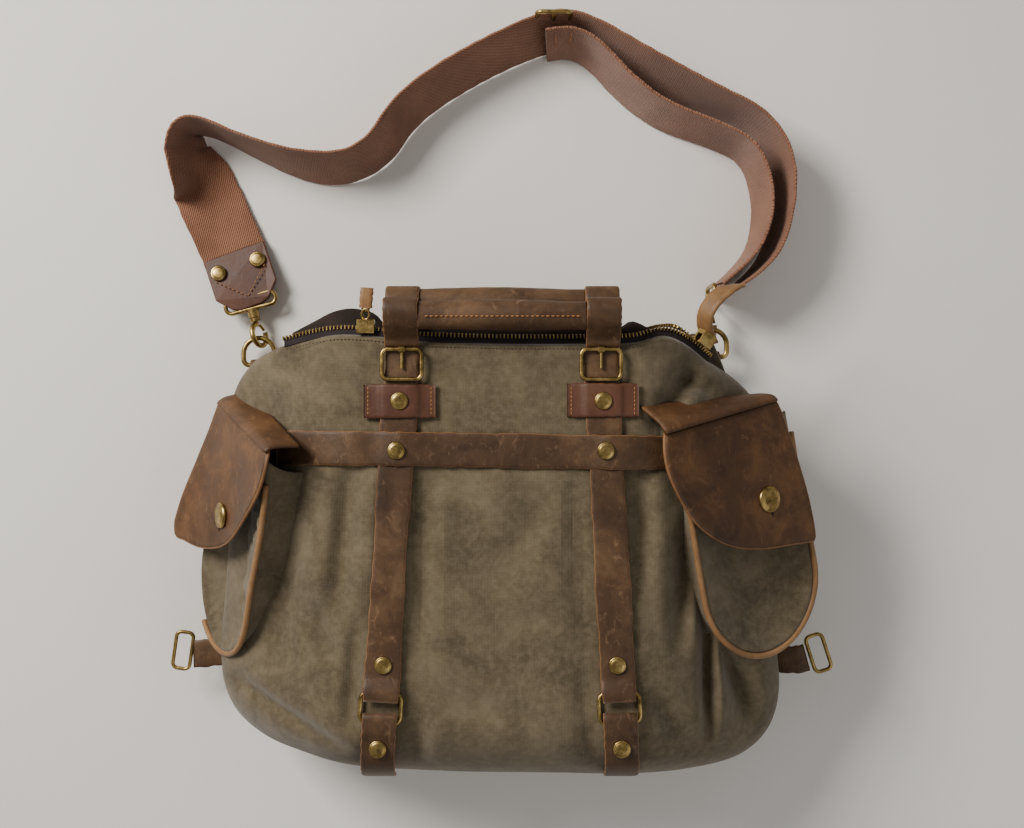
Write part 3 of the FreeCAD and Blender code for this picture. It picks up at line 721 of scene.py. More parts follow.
def add_front_straps(look):
    strap = look["strap"]
    for side, sign in (("left", -1), ("right", 1)):
        levels = [(144.0, 0, 146.9), (136, 0, 147.1), (122, 0, 147.2), (109, 0, 147.6), (95, 2.4), (75, 2.2),
                  (50, 2.6), (20, 3.2), (-10, 3.4), (-40, 3.2), (-62, 2.6), (-80, 2.4), (-86, 0, 151.2),
                  (-92, 0, 152.4), (-96.0, 0, 151.6)]
        path = curve_points(strap_path(sign, levels), 110)
        widths = [STRAP + 0.9 * math.sin(i * 0.09 + sign) - 0.6 * math.sin(i * 0.23) for i in range(110)]
        piece = ribbon(side + "_strap_leather", path, UP, widths, LEATHER, strap, 0.9, look["edge"])
        settle(piece, "bag", (side + "_front_strap",))
    tabs = []
    for sign in (-1, 1):
        levels = [(-105.0, 0, 149.6), (-106.6, 0, 151.8), (-117, 0, 151.9), (-124, 0, 149.2),
                  (-134, 0, 147.0), (-142, 0, 142.0), (-149, 0, 132.0), (-154, 0, 117.0)]
        path = curve_points(strap_path(sign, levels), 44)
        tabs.append(ribbon("tab", path, faces_over_x(path, True), STRAP, LEATHER, strap, 0.8,
                           look["edge"]))
    piece = join(tabs, "base_tab_leather")
    settle(piece, "bag", ("base_tabs",))
    knots = []
    for x in (-158, -140, -120, -104, -88, -72, -50, -20, 15, 45, 62, 74, 88, 104, 118):
        near = min(abs(abs(x) - 72.6) / 14.0, 1.0)
        z = front_height(x, BAND_Y) + 2.2 + 2.9 * (1 - near)
        knots.append(mm(x, BAND_Y - 1.5 * math.sin(x * 0.013), z))
    path = curve_points(knots, 120)
    piece = ribbon("band_leather", path, UP, 23.4, LEATHER, strap, 1.0, look["edge"])
    settle(piece, "bag", ("band_strap",))
    keepers = []
    for sign in (-1, 1):
        x = strap_x(sign, KEEPER_Y)
        rises = ((-24.5, 0.4), (-18, 0.7), (-14, 1.4), (-10.5, 3.0), (0, 3.2), (10.5, 3.0), (14, 1.4),
                 (18, 0.7), (24.5, 0.4))
        path = route([(x + dx, KEEPER_Y + 0.4 * sign, 147.4 + lift) for dx, lift in rises], 40)
        keepers.append(ribbon("keeper", path, UP, 23.0, 2.4, look["red"], 0.8))
    piece = join(keepers, "keeper_leather")
    settle(piece, "bag", ("strap_keepers",))
    stitches = []
    for sign in (-1, 1):
        for end in (-1, 1):
            x = strap_x(sign, KEEPER_Y) + end * 21.6
            for step in range(7):
                y = 100.6 + step * 2.8
                stitches.append((mm(x, y - 1.0, 149.0), mm(x, y + 1.0, 149.0), 0.42))
    piece = mesh_stitches("keeper_stitches", stitches, look["thread"])
    settle(piece, "bag")


def mesh_stitches(name, stitches, material):
    """Every stitch, a start, an end and a radius, is a short bead of thread with pulled-down ends."""
    points, faces = [], []
    for start, end, thread in stitches:
        line = (end - start).normalized()
        across = line.orthogonal().normalized()
        other = line.cross(across)
        base = len(points)
        for share, size in ((0.0, 0.35), (0.22, 0.95), (0.5, 1.1), (0.78, 0.95), (1.0, 0.35)):
            points += circle(start.lerp(end, share), across, other, thread * size * MM, 6)
        faces += solid_faces(4, 6, base)
    return new_mesh(name, points, faces, material)


RIVET_PROFILE = [(0.0, 1.9), (3.2, 1.8), (4.6, 1.55), (4.9, 1.3), (5.3, 1.35), (5.8, 1.15), (6.1, 0.5),
                 (6.1, -0.2)]    # radius and height of a cap, from its middle outwards


def turned_caps(name, places, material, scale=1.0, sides=32):
    """Domed caps with a shallow ring, turned from one profile; each place is a point and a direction."""
    points, faces = [], []
    for place, direction in places:
        across = direction.orthogonal().normalized()
        other = direction.cross(across)
        base = len(points)
        points.append(place + direction * RIVET_PROFILE[0][1] * MM * scale)
        for radius, level in RIVET_PROFILE[1:]:
            middle = place + direction * level * MM * scale
            points += circle(middle, across, other, radius * MM * scale, sides)
        for side in range(sides):
            faces.append((base, base + 1 + side, base + 1 + (side + 1) % sides))
        spans = len(RIVET_PROFILE) - 2
        faces += grid_faces(spans, sides, closed=True, flip=True, first=base + 1)
        faces.append(tuple(base + 1 + spans * sides + side for side in range(sides - 1, -1, -1)))
    return new_mesh(name, points, faces, material)


def add_rivets(look):
    places = []
    for sign in (-1, 1):
        for y, z in ((KEEPER_Y, 151.9), (BAND_Y, None), (-71.5, None), (-128.5, 150.6)):
            x = strap_x(sign, y)
            level = z if z is not None else front_height(x, y) + (6.4 if y == BAND_Y else 3.9)
            places.append((mm(x, y, level), UP))
    piece = turned_caps("rivet_caps", places, look["brass"])
    settle(piece, "bag", ("strap_rivets",))


# ------------------------------------------------------------------ handles
BUCKLE_BAR = (144.25, 150.5)
LEG_X = 68.75
GRIP = 115.0          # length of a rolled grip
GRIP_RADIUS = 9.9


def leg_strip(sign, knots, count, look, rim=None):
    path = route([(sign * LEG_X, y, z) for y, z in knots], count)
    return ribbon("leg", path, faces_over_x(path), STRAP, LEATHER, look["strap"], 0.7, rim)


def add_handle(side, hinge, grip, look):
    """Two folded strap legs and a rolled, stitched grip."""
    y0, z0 = hinge
    y1, z1 = grip
    if side == "front":
        knots = [(y0 - 1.8, z0 - 2.6), (y0 + 1.2, z0 - 2.9), (y0 + 3.6, z0 - 0.6), (y0 + 8, z0 + 1.9),
                 (y1 - 6, z1 + 5.5), (y1 + 2, z1 + 9.2), (y1 + 9, z1 + 6.5), (y1 + 10.6, z1 - 1),
                 (y1 + 6, z1 - 8), (y1 - 4, z1 - 8.6)]
    else:
        knots = [(y0 - 0.5, z0 + 1.5), (y0 + 3, z0 + 20), (y1 - 13, z1 - 14), (y1 - 8, z1 + 2),
                 (y1 - 1, z1 + 9.4), (y1 + 8, z1 + 6), (y1 + 10, z1 - 3), (y1 + 3, z1 - 12),
                 (y1 - 4, z1 - 20)]
    legs = [leg_strip(sign, knots, 60, look, look["edge"]) for sign in (-1, 1)]
    piece = join(legs, side + "_leg_leather")
    settle(piece, side + "_handle", (side + "_handle_legs",))
    roll(side, y1, z1, look)


def roll(side, y, z, look):
    """The rolled grip: an oval tube with a pressed seam, open rolled ends and a row of stitches."""
    rings, sides = 60, 28
    points = []
    for ring in range(rings + 1):
        share = ring / rings
        x = GRIP * (share - 0.5)
        swell = 1.0 - 0.05 * math.cos(2 * math.pi * share)
        for part in range(sides):
            angle = 2 * math.pi * part / sides
            size = GRIP_RADIUS * swell * (1.0 + 0.03 * math.sin(3 * angle + share * 5.0))
            seam = 0.55 * math.exp(-((angle - 0.60 * math.pi) / 0.10) ** 2)
            size -= seam + 0.25 * noise.noise(Vector((x * 0.08, angle, 2.0)))
            points.append(mm(x, y + size * math.cos(angle) * 1.02, z + size * math.sin(angle) * 0.95))
    faces = grid_faces(rings, sides, closed=True, flip=True)
    faces.append(tuple(range(sides)))
    faces.append(tuple(range(len(points) - 1, len(points) - sides - 1, -1)))
    piece = new_mesh(side + "_grip_leather", points, faces, look["strap"])
    settle(piece, side + "_handle", (side + "_handle_grip",))
    stitches = []
    for step in range(31):
        x = -52.0 + step * 3.4
        reach = GRIP_RADIUS * (1.0 - 0.05 * math.cos(2 * math.pi * (x / GRIP + 0.5))) + 0.25
        spot = (y + 1.02 * reach * math.cos(0.54 * math.pi), z + 0.95 * reach * math.sin(0.54 * math.pi))
        stitches.append((mm(x, *spot), mm(x + 2.4, *spot), 0.5))
    piece = mesh_stitches(side + "_grip_stitches", stitches, look["thread"])
    settle(piece, side + "_handle")


def add_rear_straps(look):
    knots = [(96, 11.5), (118, 20), (140, 37), (152, 50), (160.2, 56.2)]
    legs = [leg_strip(sign, knots, 40, look) for sign in (-1, 1)]
    piece = join(legs, "rear_strap_leather")
    settle(piece, "bag", ("rear_straps",))


# ------------------------------------------------------------------ zip
TOOTH_PITCH = 2.55 * MM
REAR_LIP = [(-146, 152, 108), (-136, 158, 86), (-112, 160, 72), (-80, 158, 67), (-30, 157, 65), (30, 157, 65),
            (72, 158, 67), (96, 160, 78), (112, 163, 98), (124, 161, 112), (140, 149, 110)]


def add_zip(look, loop, lip_count):
    """Teeth, tape and stitching along the lip, on a tape that stands a little past the canvas."""
    path = even_points([spot * MM for spot in loop[:lip_count]], 150)
    outs = [line.cross(UP).normalized() * -1 for line in tangents(path)]
    outs = [out if out.y > 0 else -out for out in outs]
    tape_path = [spot + out * 2.2 * MM - UP * 1.2 * MM for spot, out in zip(path, outs)]
    tape_normals = [(UP * 0.92 + out * 0.38).normalized() for out in outs]
    tape = ribbon("front_tape_cloth", tape_path, tape_normals, 7.0, 0.8, look["zip_tape"])
    settle(tape, "bag", ("front_zip_tape",))
    length = run_length(path)
    spots = even_points([spot + out * 4.9 * MM - UP * 1.4 * MM for spot, out in zip(path, outs)],
                        int(length / TOOTH_PITCH))
    piece = tooth_row("front_teeth", spots, outs, look["brass"])
    settle(piece, "bag", ("front_zip_teeth", "shoulder_zip_teeth"))
    seam = [spot - out * 3.6 * MM for spot, out in zip(path, outs)]
    stitches = []
    beads = even_points(seam, int(length / (2.6 * MM)))
    for a, b in zip(beads, beads[1:]):
        lift = UP * 0.25 * MM
        start = a.lerp(b, 0.2)
        end = a.lerp(b, 0.8)
        ground = min(front_height(a.x / MM, a.y / MM), 146.5) * MM
        near_middle = abs(a.x) < 120.0 * MM
        start.z = end.z = max(start.z, min(ground, start.z + 5 * MM)) if near_middle else start.z + 3.2 * MM
        stitches.append((start + lift, end + lift, 0.33))
    piece = mesh_stitches("lip_stitches", stitches, look["canvas_thread"])
    settle(piece, "bag")
    rear = route(REAR_LIP, 160)
    tape = ribbon("rear_tape_cloth", [spot + UP * 1.5 * MM for spot in rear],
                  Vector((0, 1, 0.2)).normalized(), 8.0, 0.8, look["zip_tape"])
    settle(tape, "bag", ("rear_zip_tape",))
    spots = even_points([spot + UP * 5.6 * MM for spot in rear], int(run_length(rear) / TOOTH_PITCH))
    piece = tooth_row("rear_teeth", spots, [UP] * len(rear), look["brass"])
    settle(piece, "bag", ("rear_zip_teeth",))


def tooth_row(name, spots, outs, material):
    """Separate teeth: each a rounded block that sits astride the tape's edge."""
    points, faces = [], []
    lines = tangents(spots)
    for index, spot in enumerate(spots):
        out = outs[min(int(index * len(outs) / len(spots)), len(outs) - 1)]
        line = lines[index]
        out = (out - line * out.dot(line)).normalized()
        normal = line.cross(out)
        base = len(points)
        for level, size in ((-1.25, 0.62), (-0.8, 0.85), (0.8, 0.85), (1.25, 0.62)):
            for u, v in ((-0.62, -1.5), (0.62, -1.5), (0.62, 0.9), (0.38, 1.7), (-0.38, 1.7), (-0.62, 0.9)):
                points.append(spot + (line * u * size + out * v * (0.5 + 0.5 * size) + normal * level) * MM)
        faces += solid_faces(3, 6, base)
    piece = new_mesh(name, points, faces, material)
    for polygon in piece.data.polygons:
        polygon.use_smooth = False
    return piece


# ------------------------------------------------------------------ side pockets
class PocketFrame:
    """A flat frame in space: a spot, its across, up and outward directions."""

    def __init__(self, origin, tilt, lean):
        turn = Matrix.Rotation(math.radians(tilt), 3, "Y") @ Matrix.Rotation(math.radians(lean), 3, "Z")
        self.origin = Vector(origin)
        self.turn = turn

    def at(self, u, v, w):
        return (self.origin + self.turn @ Vector((u, v, w))) * MM

    def out(self):
        return self.turn @ UP

    def local(self, spot):
        """The frame's own across, up and outward values of a point, in mm."""
        return self.turn.transposed() @ (spot / MM - self.origin)

    def under(self, spot, highest, above):
        """The point, kept below the closed flap wherever it lies further up than the given height."""
        u, v, w = self.local(spot)
        return self.at(u, v, min(w, highest)) if v > above else spot


POCKETS = {"left": PocketFrame((-179.5, 20.0, 84.5), -58.5, -20),
           "right": PocketFrame((164.5, 25.0, 100.9), 31.6, 13)}
DEPTH = 22.0
FLAP_LOW = 23.8       # the flap's inner face, above the pocket's back
HALF, TOP, BOTTOM = 50.0, 68.0, -96.0    # a pouch's half width, upper end and foot


def u_shape(half, top, bottom, share):
    """A point of a U-shaped outline, from its upper left end (0) to its upper right end (1)."""
    straight = top - (bottom + half)
    bend = math.pi * half
    length = 2 * straight + bend
    run = share * length
    if run < straight:
        return (-half, top - run)
    if run < straight + bend:
        angle = math.pi + (run - straight) / half
        return (half * math.cos(angle), bottom + half + half * math.sin(angle))
    return (half, bottom + half + (run - straight - bend))


def stuff(piece, held, place):
    """Let a pouch's front settle as slightly loose canvas that is pushed out by what is in it."""
    frames = 26
    keys = {tuple(round(value, 5) for value in spot) for spot in held}
    group = piece.vertex_groups.new(name="held")
    group.add([vertex.index for vertex in piece.data.vertices
               if tuple(round(value, 5) for value in vertex.co) in keys], 1.0, "REPLACE")
    cloth = piece.modifiers.new("cloth", "CLOTH")
    canvas = {"quality": 8, "mass": 0.25, "tension_stiffness": 12.0, "compression_stiffness": 12.0,
              "shear_stiffness": 8.0, "bending_stiffness": 1.5, "vertex_group_mass": "held",
              "shrink_min": -0.03, "use_pressure": True, "uniform_pressure_force": 0.5}
    for key, value in canvas.items():
        setattr(cloth.settings, key, value)
    cloth.settings.effector_weights.gravity = 0.2
    cloth.collision_settings.use_collision = False
    cloth.point_cache.frame_end = frames
    scene = bpy.context.scene
    for moment in range(1, frames + 1):
        scene.frame_set(moment)
    settled = piece.evaluated_get(bpy.context.evaluated_depsgraph_get())
    spots = [vertex.co.copy() for vertex in settled.data.vertices]
    piece.modifiers.remove(cloth)
    piece.vertex_groups.clear()
    scene.frame_set(1)
    for vertex, spot in zip(piece.data.vertices, spots):
        vertex.co = place.under(spot, FLAP_LOW - 1.2, 18.0)


def ripple(u, v, seed):
    """Soft unevenness of a pouch's front, in mm."""
    return (noise.noise(Vector((u * 0.035, v * 0.03, seed))) * 2.0
            + noise.noise(Vector((u * 0.1, v * 0.09, seed))) * 0.7)


def add_pocket(side, look):
    """A stuffed canvas pouch: a crowned front, a soft gusset and an open, slightly gaping mouth."""
    place = POCKETS[side]
    mirror = 1 if side == "right" else -1
    around, rings, walls = 96, 26, 8
    width = around + 1
    sunk = 9.0 if side == "right" else 26.0
    points = []
    for ring in range(rings + 1):
        share = ring / rings
        for step in range(around + 1):
            u, v = u_shape(HALF, TOP, BOTTOM, step / around)
            mid_v = max(min(v, TOP - 8.0), BOTTOM + HALF)
            x = u * share
            y = mid_v + (v - mid_v) * share
            crown = (1.0 - share ** 3.2)
            fold = 4.5 * math.exp(-((x * mirror - 30.0 - 0.10 * (y + 60)) / 5.0) ** 2)
            fold *= math.exp(-((y + 62.0) / 30.0) ** 2)
            bumps = ripple(u * share, y, 3.0 + mirror) * (1 - share ** 6)
            w = DEPTH - 3.5 + 6.0 * crown + bumps - fold * crown
            if y > 20:
                w = min(w, FLAP_LOW - 1.2)
            points.append(place.at(x, y, w))
    for ring in range(1, walls + 1):
        share = ring / walls
        for step in range(around + 1):
            u, v = u_shape(HALF, TOP, BOTTOM, step / around)
            pull = 1.0 - 0.07 * math.sin(math.pi * share) - 0.03 * share
            w = (DEPTH - 3.5) * (1 - share) - sunk * share
            w += 0.8 * noise.noise(Vector((u * 0.05, v * 0.05, share * 3)))
            points.append(place.at(u * pull, BOTTOM + HALF + (v - BOTTOM - HALF) * pull, w))
    piece = new_mesh(side + "_pouch", points, grid_faces(rings + walls, around, flip=True), look["canvas"])
    weld(piece)
    front = (rings - 1) * width
    held = points[front:] + [spot for spot in points[:front] if place.local(spot).y > 56.0]
    stuff(piece, held, place)
    thicken(piece, 1.3)
    settle(piece, "bag", (side + "_pocket",))
    rim = []
    for step in range(38 if side == "left" else 0, 91):
        u, v = u_shape(HALF + 1.6, 52.0, BOTTOM - 1.6, step / 90)
        rim.append(place.at(u, v, DEPTH - 3.0 + 0.8 * math.sin(step * 0.21)))
    piece = tube(side + "_piping_cord", rim, 2.1, look["tan"], 12)
    settle(piece, "bag", (side + "_pocket_piping",))


FLAPS = {
    # Outline in the pocket's frame, from the hinge's left end round the free edge to its right end.
    "left": [(55, 77.5), (58, 64), (50, 38), (30, 9), (6, -13), (-18, -25), (-40, -29), (-54, -27), (-53, 10),
             (-42, 77.5)],
    "right": [(-62, 77.5), (-67, 64), (-66, 46), (-56, 18), (-41, 0), (-23, -12), (2, -20), (27, -24),
              (45, -27), (50, -24), (50, 2), (45, 40), (39, 77.5)],
}


def add_flap(side, look):
    """A leather flap: its skin bends over the hinge, and its free edge lifts and curls a little."""
    place = POCKETS[side]
    knots = [Vector((u, v, 0)) for u, v in FLAPS[side]]
    rim = curve_points(knots, 120)
    heart = Vector((0, 36, 0))
    rings = 22
    points = []

    def height(u, v, share):
        curl = 1.4 * noise.noise(Vector((u * 0.03, v * 0.03, 5.0 + len(side))))
        dome = 2.2 * math.exp(-((v - 10.0) / 45.0) ** 2)
        lift = max(0.0, share - 0.7) * 3.0 * max(0.0, (60.0 - v) / 80.0)
        tuck = 1.6 * max(0.0, (v - 62.0) / 14.0) ** 2
        if side == "left":
            lift += 15.0 * max(0.0, (8.0 - u) / 62.0) ** 1.3 * min(1.0, max(0.0, (70.0 - v) / 90.0)) ** 1.2
        return FLAP_LOW + 1.4 + curl + dome + lift - tuck

    for ring in range(rings + 1):
        share = ring / rings
        for spot in rim:
            u, v, _ = heart.lerp(spot, share)
            points.append(place.at(u, v, height(u, v, share)))
    faces = grid_faces(rings, len(rim), closed=True, flip=side == "right")
    piece = new_mesh(side + "_flap_leather", points, faces, look["flap"])
    weld(piece)
    thicken(piece, 2.3, -1.0)
    settle(piece, side + "_flap", (side + "_pocket_flap",))
    edge = [place.at(spot.x, spot.y, height(spot.x, spot.y, 1.0) - 1.15) for spot in rim]
    trim = tube(side + "_flap_edge", [edge[-1]] + edge + [edge[0]], 1.22, look["edge"], 8)
    settle(trim, side + "_flap")
    u, v = {"left": (0.0, 8.0), "right": (14.0, 12.0)}[side]
    level = height(u, v, 0.3)
    cap = turned_caps(side + "_snap_dome", [(place.at(u, v, level - 0.4), place.out())], look["brass"],
                      1.55, 40)
    settle(cap, side + "_flap", (side + "_snap_cap",))
    # Painted shadow: a near-black, tapering streak laid on the flap just below the snap dome stands in for
    # the shadow that the dome casts.
    level = height(u, v - 9.0, 0.3)
    snap_shadow_points = [place.at(u + 0.1 * step, v - 8.0 - 1.4 * step, level - 0.35) for step in range(5)]
    piece = tube(side + "_snap_painted_shadow", snap_shadow_points, [1.5, 1.3, 0.8, 0.6, 0.3], look["zip_tape"], 10)
    settle(piece, side + "_flap")


def add_flap_roots(look):
    """The sewn-down top of each flap: leather that rises from the bag and rounds over to the hinge."""
    spans = {"left": (-42.0, 56.0, 4.0), "right": (-63.0, 39.0, 15.0)}
    roots = []
    for side, place in POCKETS.items():
        first, last, rise = spans[side]
        section = curve_points([Vector((0, v, w)) for v, w in
                                ((82.0, 0.5), (82.2, 9.0), (81.6, 18.0), (80.0, 22.6), (77.4, 24.6))], 14)
        points = []
        columns = 24
        for spot in section:
            for column in range(columns + 1):
                share = column / columns
                if side == "left":
                    share = 1.0 - share
                back = rise * (1.0 - share) * (1.0 - spot.z / 25.0)
                points.append(place.at(first + (last - first) * share, spot.y + back, spot.z))
        root = new_mesh("root", points, grid_faces(len(section) - 1, columns), look["flap"])
        thicken(root, 2.2, 0.0)
        roots.append(root)
    piece = join(roots, "flap_root_leather")
    settle(piece, "bag", ("flap_roots",))


def add_pocket_straps(look):
    ends = {"left": ((-199, -78, 26), (-212, -81, 31), (-228, -83, 32), (-237.0, -83.5, 31.4)),
            "right": ((203, -84, 30), (212, -87, 34), (224, -87, 36.2), (231.0, -85.5, 35.6))}
    across = {"left": Vector((-0.139, -0.99, 0)), "right": Vector((-0.309, 0.951, 0))}
    for side, knots in ends.items():
        path = route(knots, 24)
        normals = [line.cross(across[side]).normalized() for line in tangents(path)]
        normals = [normal if normal.z > 0 else -normal for normal in normals]
        piece = ribbon(side + "_pocket_leather", path, normals, 21.0, 2.4, look["strap"], 0.8)
        settle(piece, "bag", (side + "_pocket_strap",))


def add_dee_anchors(look):
    """Leather strips that fold round the straight bar of each dee and run back under the bag."""
    left_run = [(-189.5, 133.5, 17.9), (-189.9, 138.5, 17.7), (-190.0, 141.4, 14.0),
                (-189.6, 138.5, 10.4),
                (-188.0, 130.0, 10.2), (-184.0, 116.0, 9.0), (-177.0, 98.0, 10.0), (-170.0, 84.0, 12.5),
                (-164.0, 70.0, 6.4)]
    right_run = [(160.0, 139.5, 27.9), (160.0, 144.5, 27.7), (160.0, 147.4, 24.0), (160.0, 144.5, 20.4),
                 (160.0, 136.0, 19.6), (159.0, 122.0, 15.0), (156.0, 104.0, 12.0), (152.0, 88.0, 13.4),
                 (148.0, 74.0, 6.8)]
    strips = []
    for run in (left_run, right_run):
        path = route(run, 48)
        strips.append(ribbon("anchor", path, faces_over_x(path), 13.0, 2.2, look["strap"], 0.4,
                             look["edge"]))
    piece = join(strips, "dee_anchor_leather")
    settle(piece, "bag", ("dee_anchors",))


# ------------------------------------------------------------------ lining, end tab and pulls
def add_lining(material):
    """The dark lining: a soft pouch inside the bag, with a fold that stands out of the mouth.

    The fold is higher in the two wings outside the handles, and lower behind the rear handle's legs.
    """
    columns, rows = 90, 26
    points = []
    for row in range(rows + 1):
        v = row / rows
        angle = math.pi * v
        for column in range(columns + 1):
            u = column / columns
            x = -150.0 + 284.0 * u
            end = abs(2 * u - 1) ** 3
            wing = 5.0 / (1 + (88.0 / (abs(x) + 0.1)) ** 30)
            reach = (44.0 + wing) / (1 + ((x + 16) / 126.0) ** 10)
            legs = 7.0 / (1 + ((abs(x) - 71) / 17.0) ** 8)
            fold = (reach - legs) * math.exp(-((v - 0.42) / 0.2) ** 2)
            low = 70.0 + 22.0 * end
            high = 137.0 - 20.0 * end
            z = low + (high - low) * v
            y = 153.5 - 7.0 * end - 34.0 * math.sin(angle) * (1 - 0.8 * end) + fold
            y += 1.5 * noise.noise(Vector((x * 0.05, z * 0.04, 6.0)))
            points.append(mm(x, y, z))
    piece = new_mesh("lining_cloth", points, grid_faces(rows, columns), material)
    thicken(piece, 1.0)
    settle(piece, "bag", ("main_lining",))


def on_tab(x, y, level, size=1.0):
    """A point of the end tab, which is turned 20 degrees and sags towards the webbing."""
    sag = -7.0 * max(0.0, (y + 6.0) / 28.0) ** 1.2
    turn = Matrix.Rotation(math.radians(20), 3, "Z")
    return (Vector((-203.6, 206.5, 14.0)) + turn @ Vector((x * size, y * size, level + sag))) * MM


def add_end_tab(look):
    """The leather end of the webbing: two plies with cut corners, sewn and riveted."""
    shape = [(-25, 22), (25, 22), (25, -11), (15, -22), (9, -24.5), (-9, -24.5), (-15, -22), (-25, -11)]
    rows = [(-2.6, 0.985), (-1.9, 1.0), (1.4, 1.0), (2.1, 0.985)]
    points = [on_tab(x, y, level, size) for level, size in rows for x, y in shape]
    piece = new_mesh("end_tab_leather", points, solid_faces(len(rows) - 1, len(shape)), look["red"])
    modifier = piece.modifiers.new("bevel", "BEVEL")
    modifier.width = 0.9 * MM
    modifier.segments = 3
    apply_modifiers(piece)
    for polygon in piece.data.polygons:
        polygon.use_smooth = abs(polygon.normal.z) < 0.9
    settle(piece, "bag", ("strap_end_tab",))
    sunk = 7.0 * (15.0 / 28.0) ** 1.2 - 0.4    # undoes the sag at the caps, less 0.4 mm
    caps = [(on_tab(x, 9.0, sunk), Vector((0, 0.15, 1)).normalized()) for x in (-16.0, 16.0)]
    piece = turned_caps("tab_caps", caps, look["brass"])
    settle(piece, "bag", ("tab_rivets",))
    stitches = []
    for x0, y0, x1, y1 in ((-21, 4, 0, -16), (0, -16, 21, 4)):
        for step in range(8):
            spots = [on_tab(x0 + (x1 - x0) * t, y0 + (y1 - y0) * t, 2.3)
                     for t in ((step + 0.15) / 8, (step + 0.8) / 8)]
            stitches.append((*spots, 0.4))
    piece = mesh_stitches("tab_stitches", stitches, look["thread"])
    settle(piece, "bag")


def add_sewn_end(line, look):
    """Two rows of stitches across the end of the return run, just past the adjuster."""
    stitches = []
    for row in (6, 16):
        spot = line[row]
        ahead = (line[row + 1] - line[row]).normalized()
        side = ahead.cross(UP).normalized()
        for step in range(13):
            low = spot.z - 21.0 * MM + step * 3.3 * MM
            for face in (-1, 1):
                start = Vector((spot.x, spot.y, low)) + side * face * 1.45 * MM
                stitches.append((start, start + UP * 2.2 * MM, 0.45))
    piece = mesh_stitches("return_stitches", stitches, look["thread"])
    settle(piece, "bag")


SLIDE_X, SLIDE_Y = 38.0, 400.5    # the adjuster's middle
PULL_X = -94.0                    # the left zip pull


def add_slide(look):
    """The strap's brass adjuster: a rounded wire frame standing on edge with a bar across its middle."""
    corners = []
    for dx, z, start in ((8.5, 54.0, 0), (-8.5, 54.0, 90), (-8.5, 6.5, 180), (8.5, 6.5, 270)):
        for step in range(7):
            angle = math.radians(start + step * 15)
            corners.append(mm(SLIDE_X + dx + 4.0 * math.cos(angle), SLIDE_Y, z + 4.0 * math.sin(angle)))
    frame_wire = tube("slide_frame", corners + corners[:1], 1.8, look["brass"], 12, True)
    across = [mm(SLIDE_X, SLIDE_Y, z) for z in (3.2, 20.0, 40.0, 57.2)]
    bar = tube("slide_bar", across, 1.7, look["brass"], 12)
    piece = join([frame_wire, bar], "slide_wire")
    settle(piece, "bag", ("strap_slide",))


def add_pulls(look):
    """Leather zip pulls, folded double; the right one stands up and rolls over."""
    knots = [(-94, 173, 142.7), (-93.7, 177, 143.2), (-93.3, 182, 143.3), (-93, 186.5, 142.6)]
    piece = ribbon("left_pull_leather", route(knots, 24), UP, 9.0, 3.0, look["tan"], 0.5)
    settle(piece, "left_pull", ("left_zip_pull",))
    links = []
    for radius_y, y in ((3.6, 168.6), (3.4, 174.2)):
        ring = []
        for step in range(25):
            angle = math.radians(15 * step)
            ring.append(mm(PULL_X + 2.6 * math.cos(angle), y + radius_y * math.sin(angle),
                           142.6 + 0.8 * math.sin(angle + math.radians(40))))
        links.append(tube("link", ring, 0.85, look["brass"], 10, True))
    piece = join(links, "left_pull_links")
    settle(piece, "left_pull")
    knots = [(147.5, 150, 116), (142.5, 158, 124), (141, 168, 130), (146, 178, 132), (155, 186, 130),
             (165, 190, 123)]
    low, high = Vector((-0.45, 0.1, 0.9)).normalized(), Vector((-0.75, 0.35, 0.6)).normalized()
    normals = [low.lerp(high, i / 39) for i in range(40)]
    widths = [10.0 + 4.5 * min(1.0, i / 24.0) for i in range(40)]
    piece = ribbon("right_pull_leather", route(knots, 40), normals, widths, 3.0, look["tan"], 0.6)
    settle(piece, "right_pull", ("right_zip_pull",))


def dress_hardware(look):
    """CAD pieces whose shape is right keep it, and take a better finish."""
    finishes = {"brass": look["brass"], "strap_leather": look["strap"], "tan_leather": look["tan"]}
    slots = {part["node"]: part["material_slot"] for part in frame["record"]["subparts"]}
    for node, finish_slot in slots.items():
        thing = bpy.data.objects.get(node)
        if thing is None or finish_slot not in finishes:
            continue
        if not thing.material_slots:
            thing.data.materials.append(finishes[finish_slot])
        for material_slot in thing.material_slots:
            material_slot.material = finishes[finish_slot]


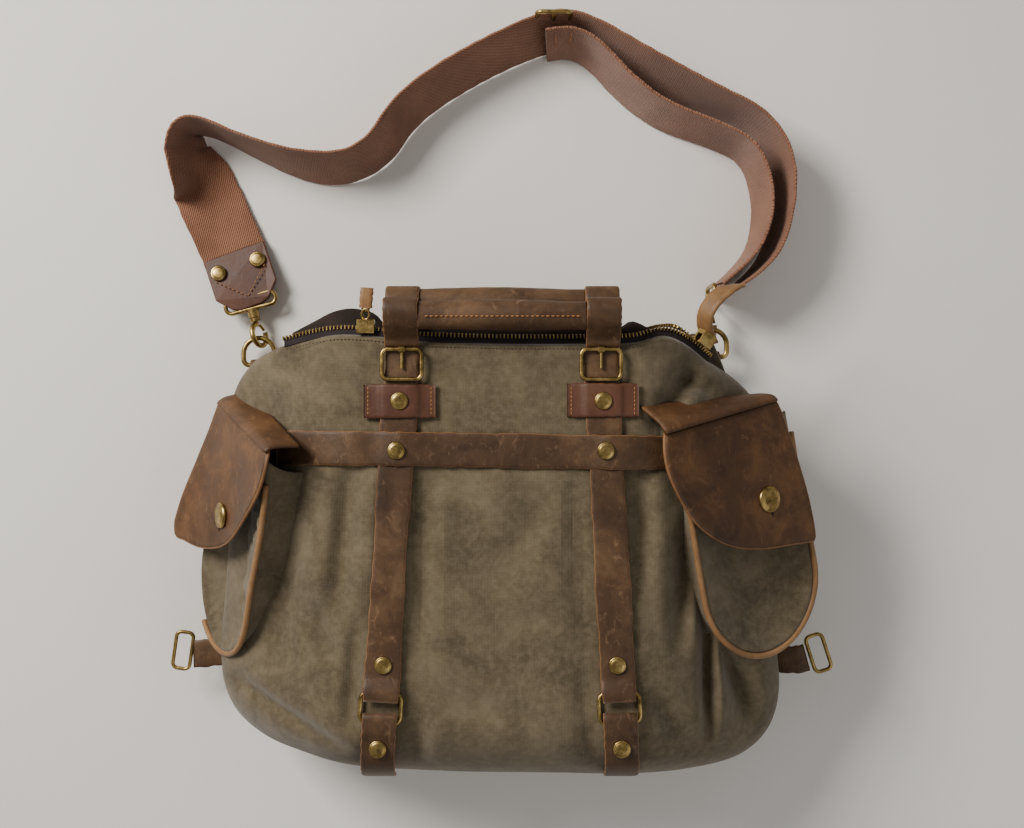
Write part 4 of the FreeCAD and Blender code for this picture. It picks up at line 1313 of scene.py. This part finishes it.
LEATHERS = {
    # name: dark, middle and light tone, strength of the scuffs and, if not the usual, roughness
    "strap": ((0.024, 0.012, 0.006), (0.064, 0.032, 0.014), (0.150, 0.082, 0.036), 0.6),
    "flap": ((0.022, 0.010, 0.005), (0.078, 0.034, 0.012), (0.190, 0.090, 0.032), 0.5),
    "red": ((0.034, 0.014, 0.008), (0.076, 0.028, 0.014), (0.120, 0.050, 0.026), 0.3, 0.5),
    "tan": ((0.13, 0.062, 0.022), (0.23, 0.120, 0.048), (0.34, 0.190, 0.085), 0.3),
    "edge": ((0.10, 0.045, 0.018), (0.19, 0.090, 0.036), (0.28, 0.145, 0.062), 0.2),
}
CLOTHS = {
    # name: dark and light tone, pitch of the weave
    "zip_tape": ((0.014, 0.009, 0.010), (0.028, 0.018, 0.020), 400.0),
    "lining": ((0.012, 0.007, 0.005), (0.030, 0.018, 0.013), 300.0),
    "canvas_thread": ((0.06, 0.045, 0.028), (0.10, 0.08, 0.05), 900.0),
}


def make_looks():
    look = {"canvas": canvas_material(), "webbing": webbing_material(), "brass": brass_material()}
    for name, tones in LEATHERS.items():
        look[name] = leather_material(name + "_leather", *tones)
    for name, tones in CLOTHS.items():
        look[name] = cloth_material(name, *tones)
    look["thread"] = thread_material()
    return look


MAIN_LEAN = [(0.0, 86), (0.08, 80), (0.12, 30), (0.145, 6), (0.18, 6), (0.30, 20), (0.45, 22), (0.62, 24),
             (0.78, 14), (0.90, 10), (1.0, 2)]
RETURN_LEAN = [(0.0, 14), (0.3, 14), (0.7, 10), (1.0, 2)]


def main():
    add_stage()
    look = make_looks()
    main_web, main_line = add_webbing("main_webbing", "strap_webbing", MAIN_ROUTE, MAIN_LEAN,
                                      look["webbing"], 3.0)
    return_web, return_line = add_webbing("return_webbing", "strap_webbing_return", RETURN_ROUTE, RETURN_LEAN,
                                          look["webbing"])
    loop, lip_count = add_body(look["canvas"])
    add_back(look["canvas"])
    add_lining(look["lining"])
    add_zip(look, loop, lip_count)
    add_front_straps(look)
    add_rivets(look)
    add_handle("front", BUCKLE_BAR, (167.0, 157.0), look)
    add_handle("rear", (162.0, 56.0), (177.0, 136.5), look)
    add_rear_straps(look)
    for side in ("left", "right"):
        add_pocket(side, look)
        add_flap(side, look)
    add_flap_roots(look)
    add_pocket_straps(look)
    add_dee_anchors(look)
    add_end_tab(look)
    add_sewn_end(return_line, look)
    add_slide(look)
    add_pulls(look)
    dress_hardware(look)


main()
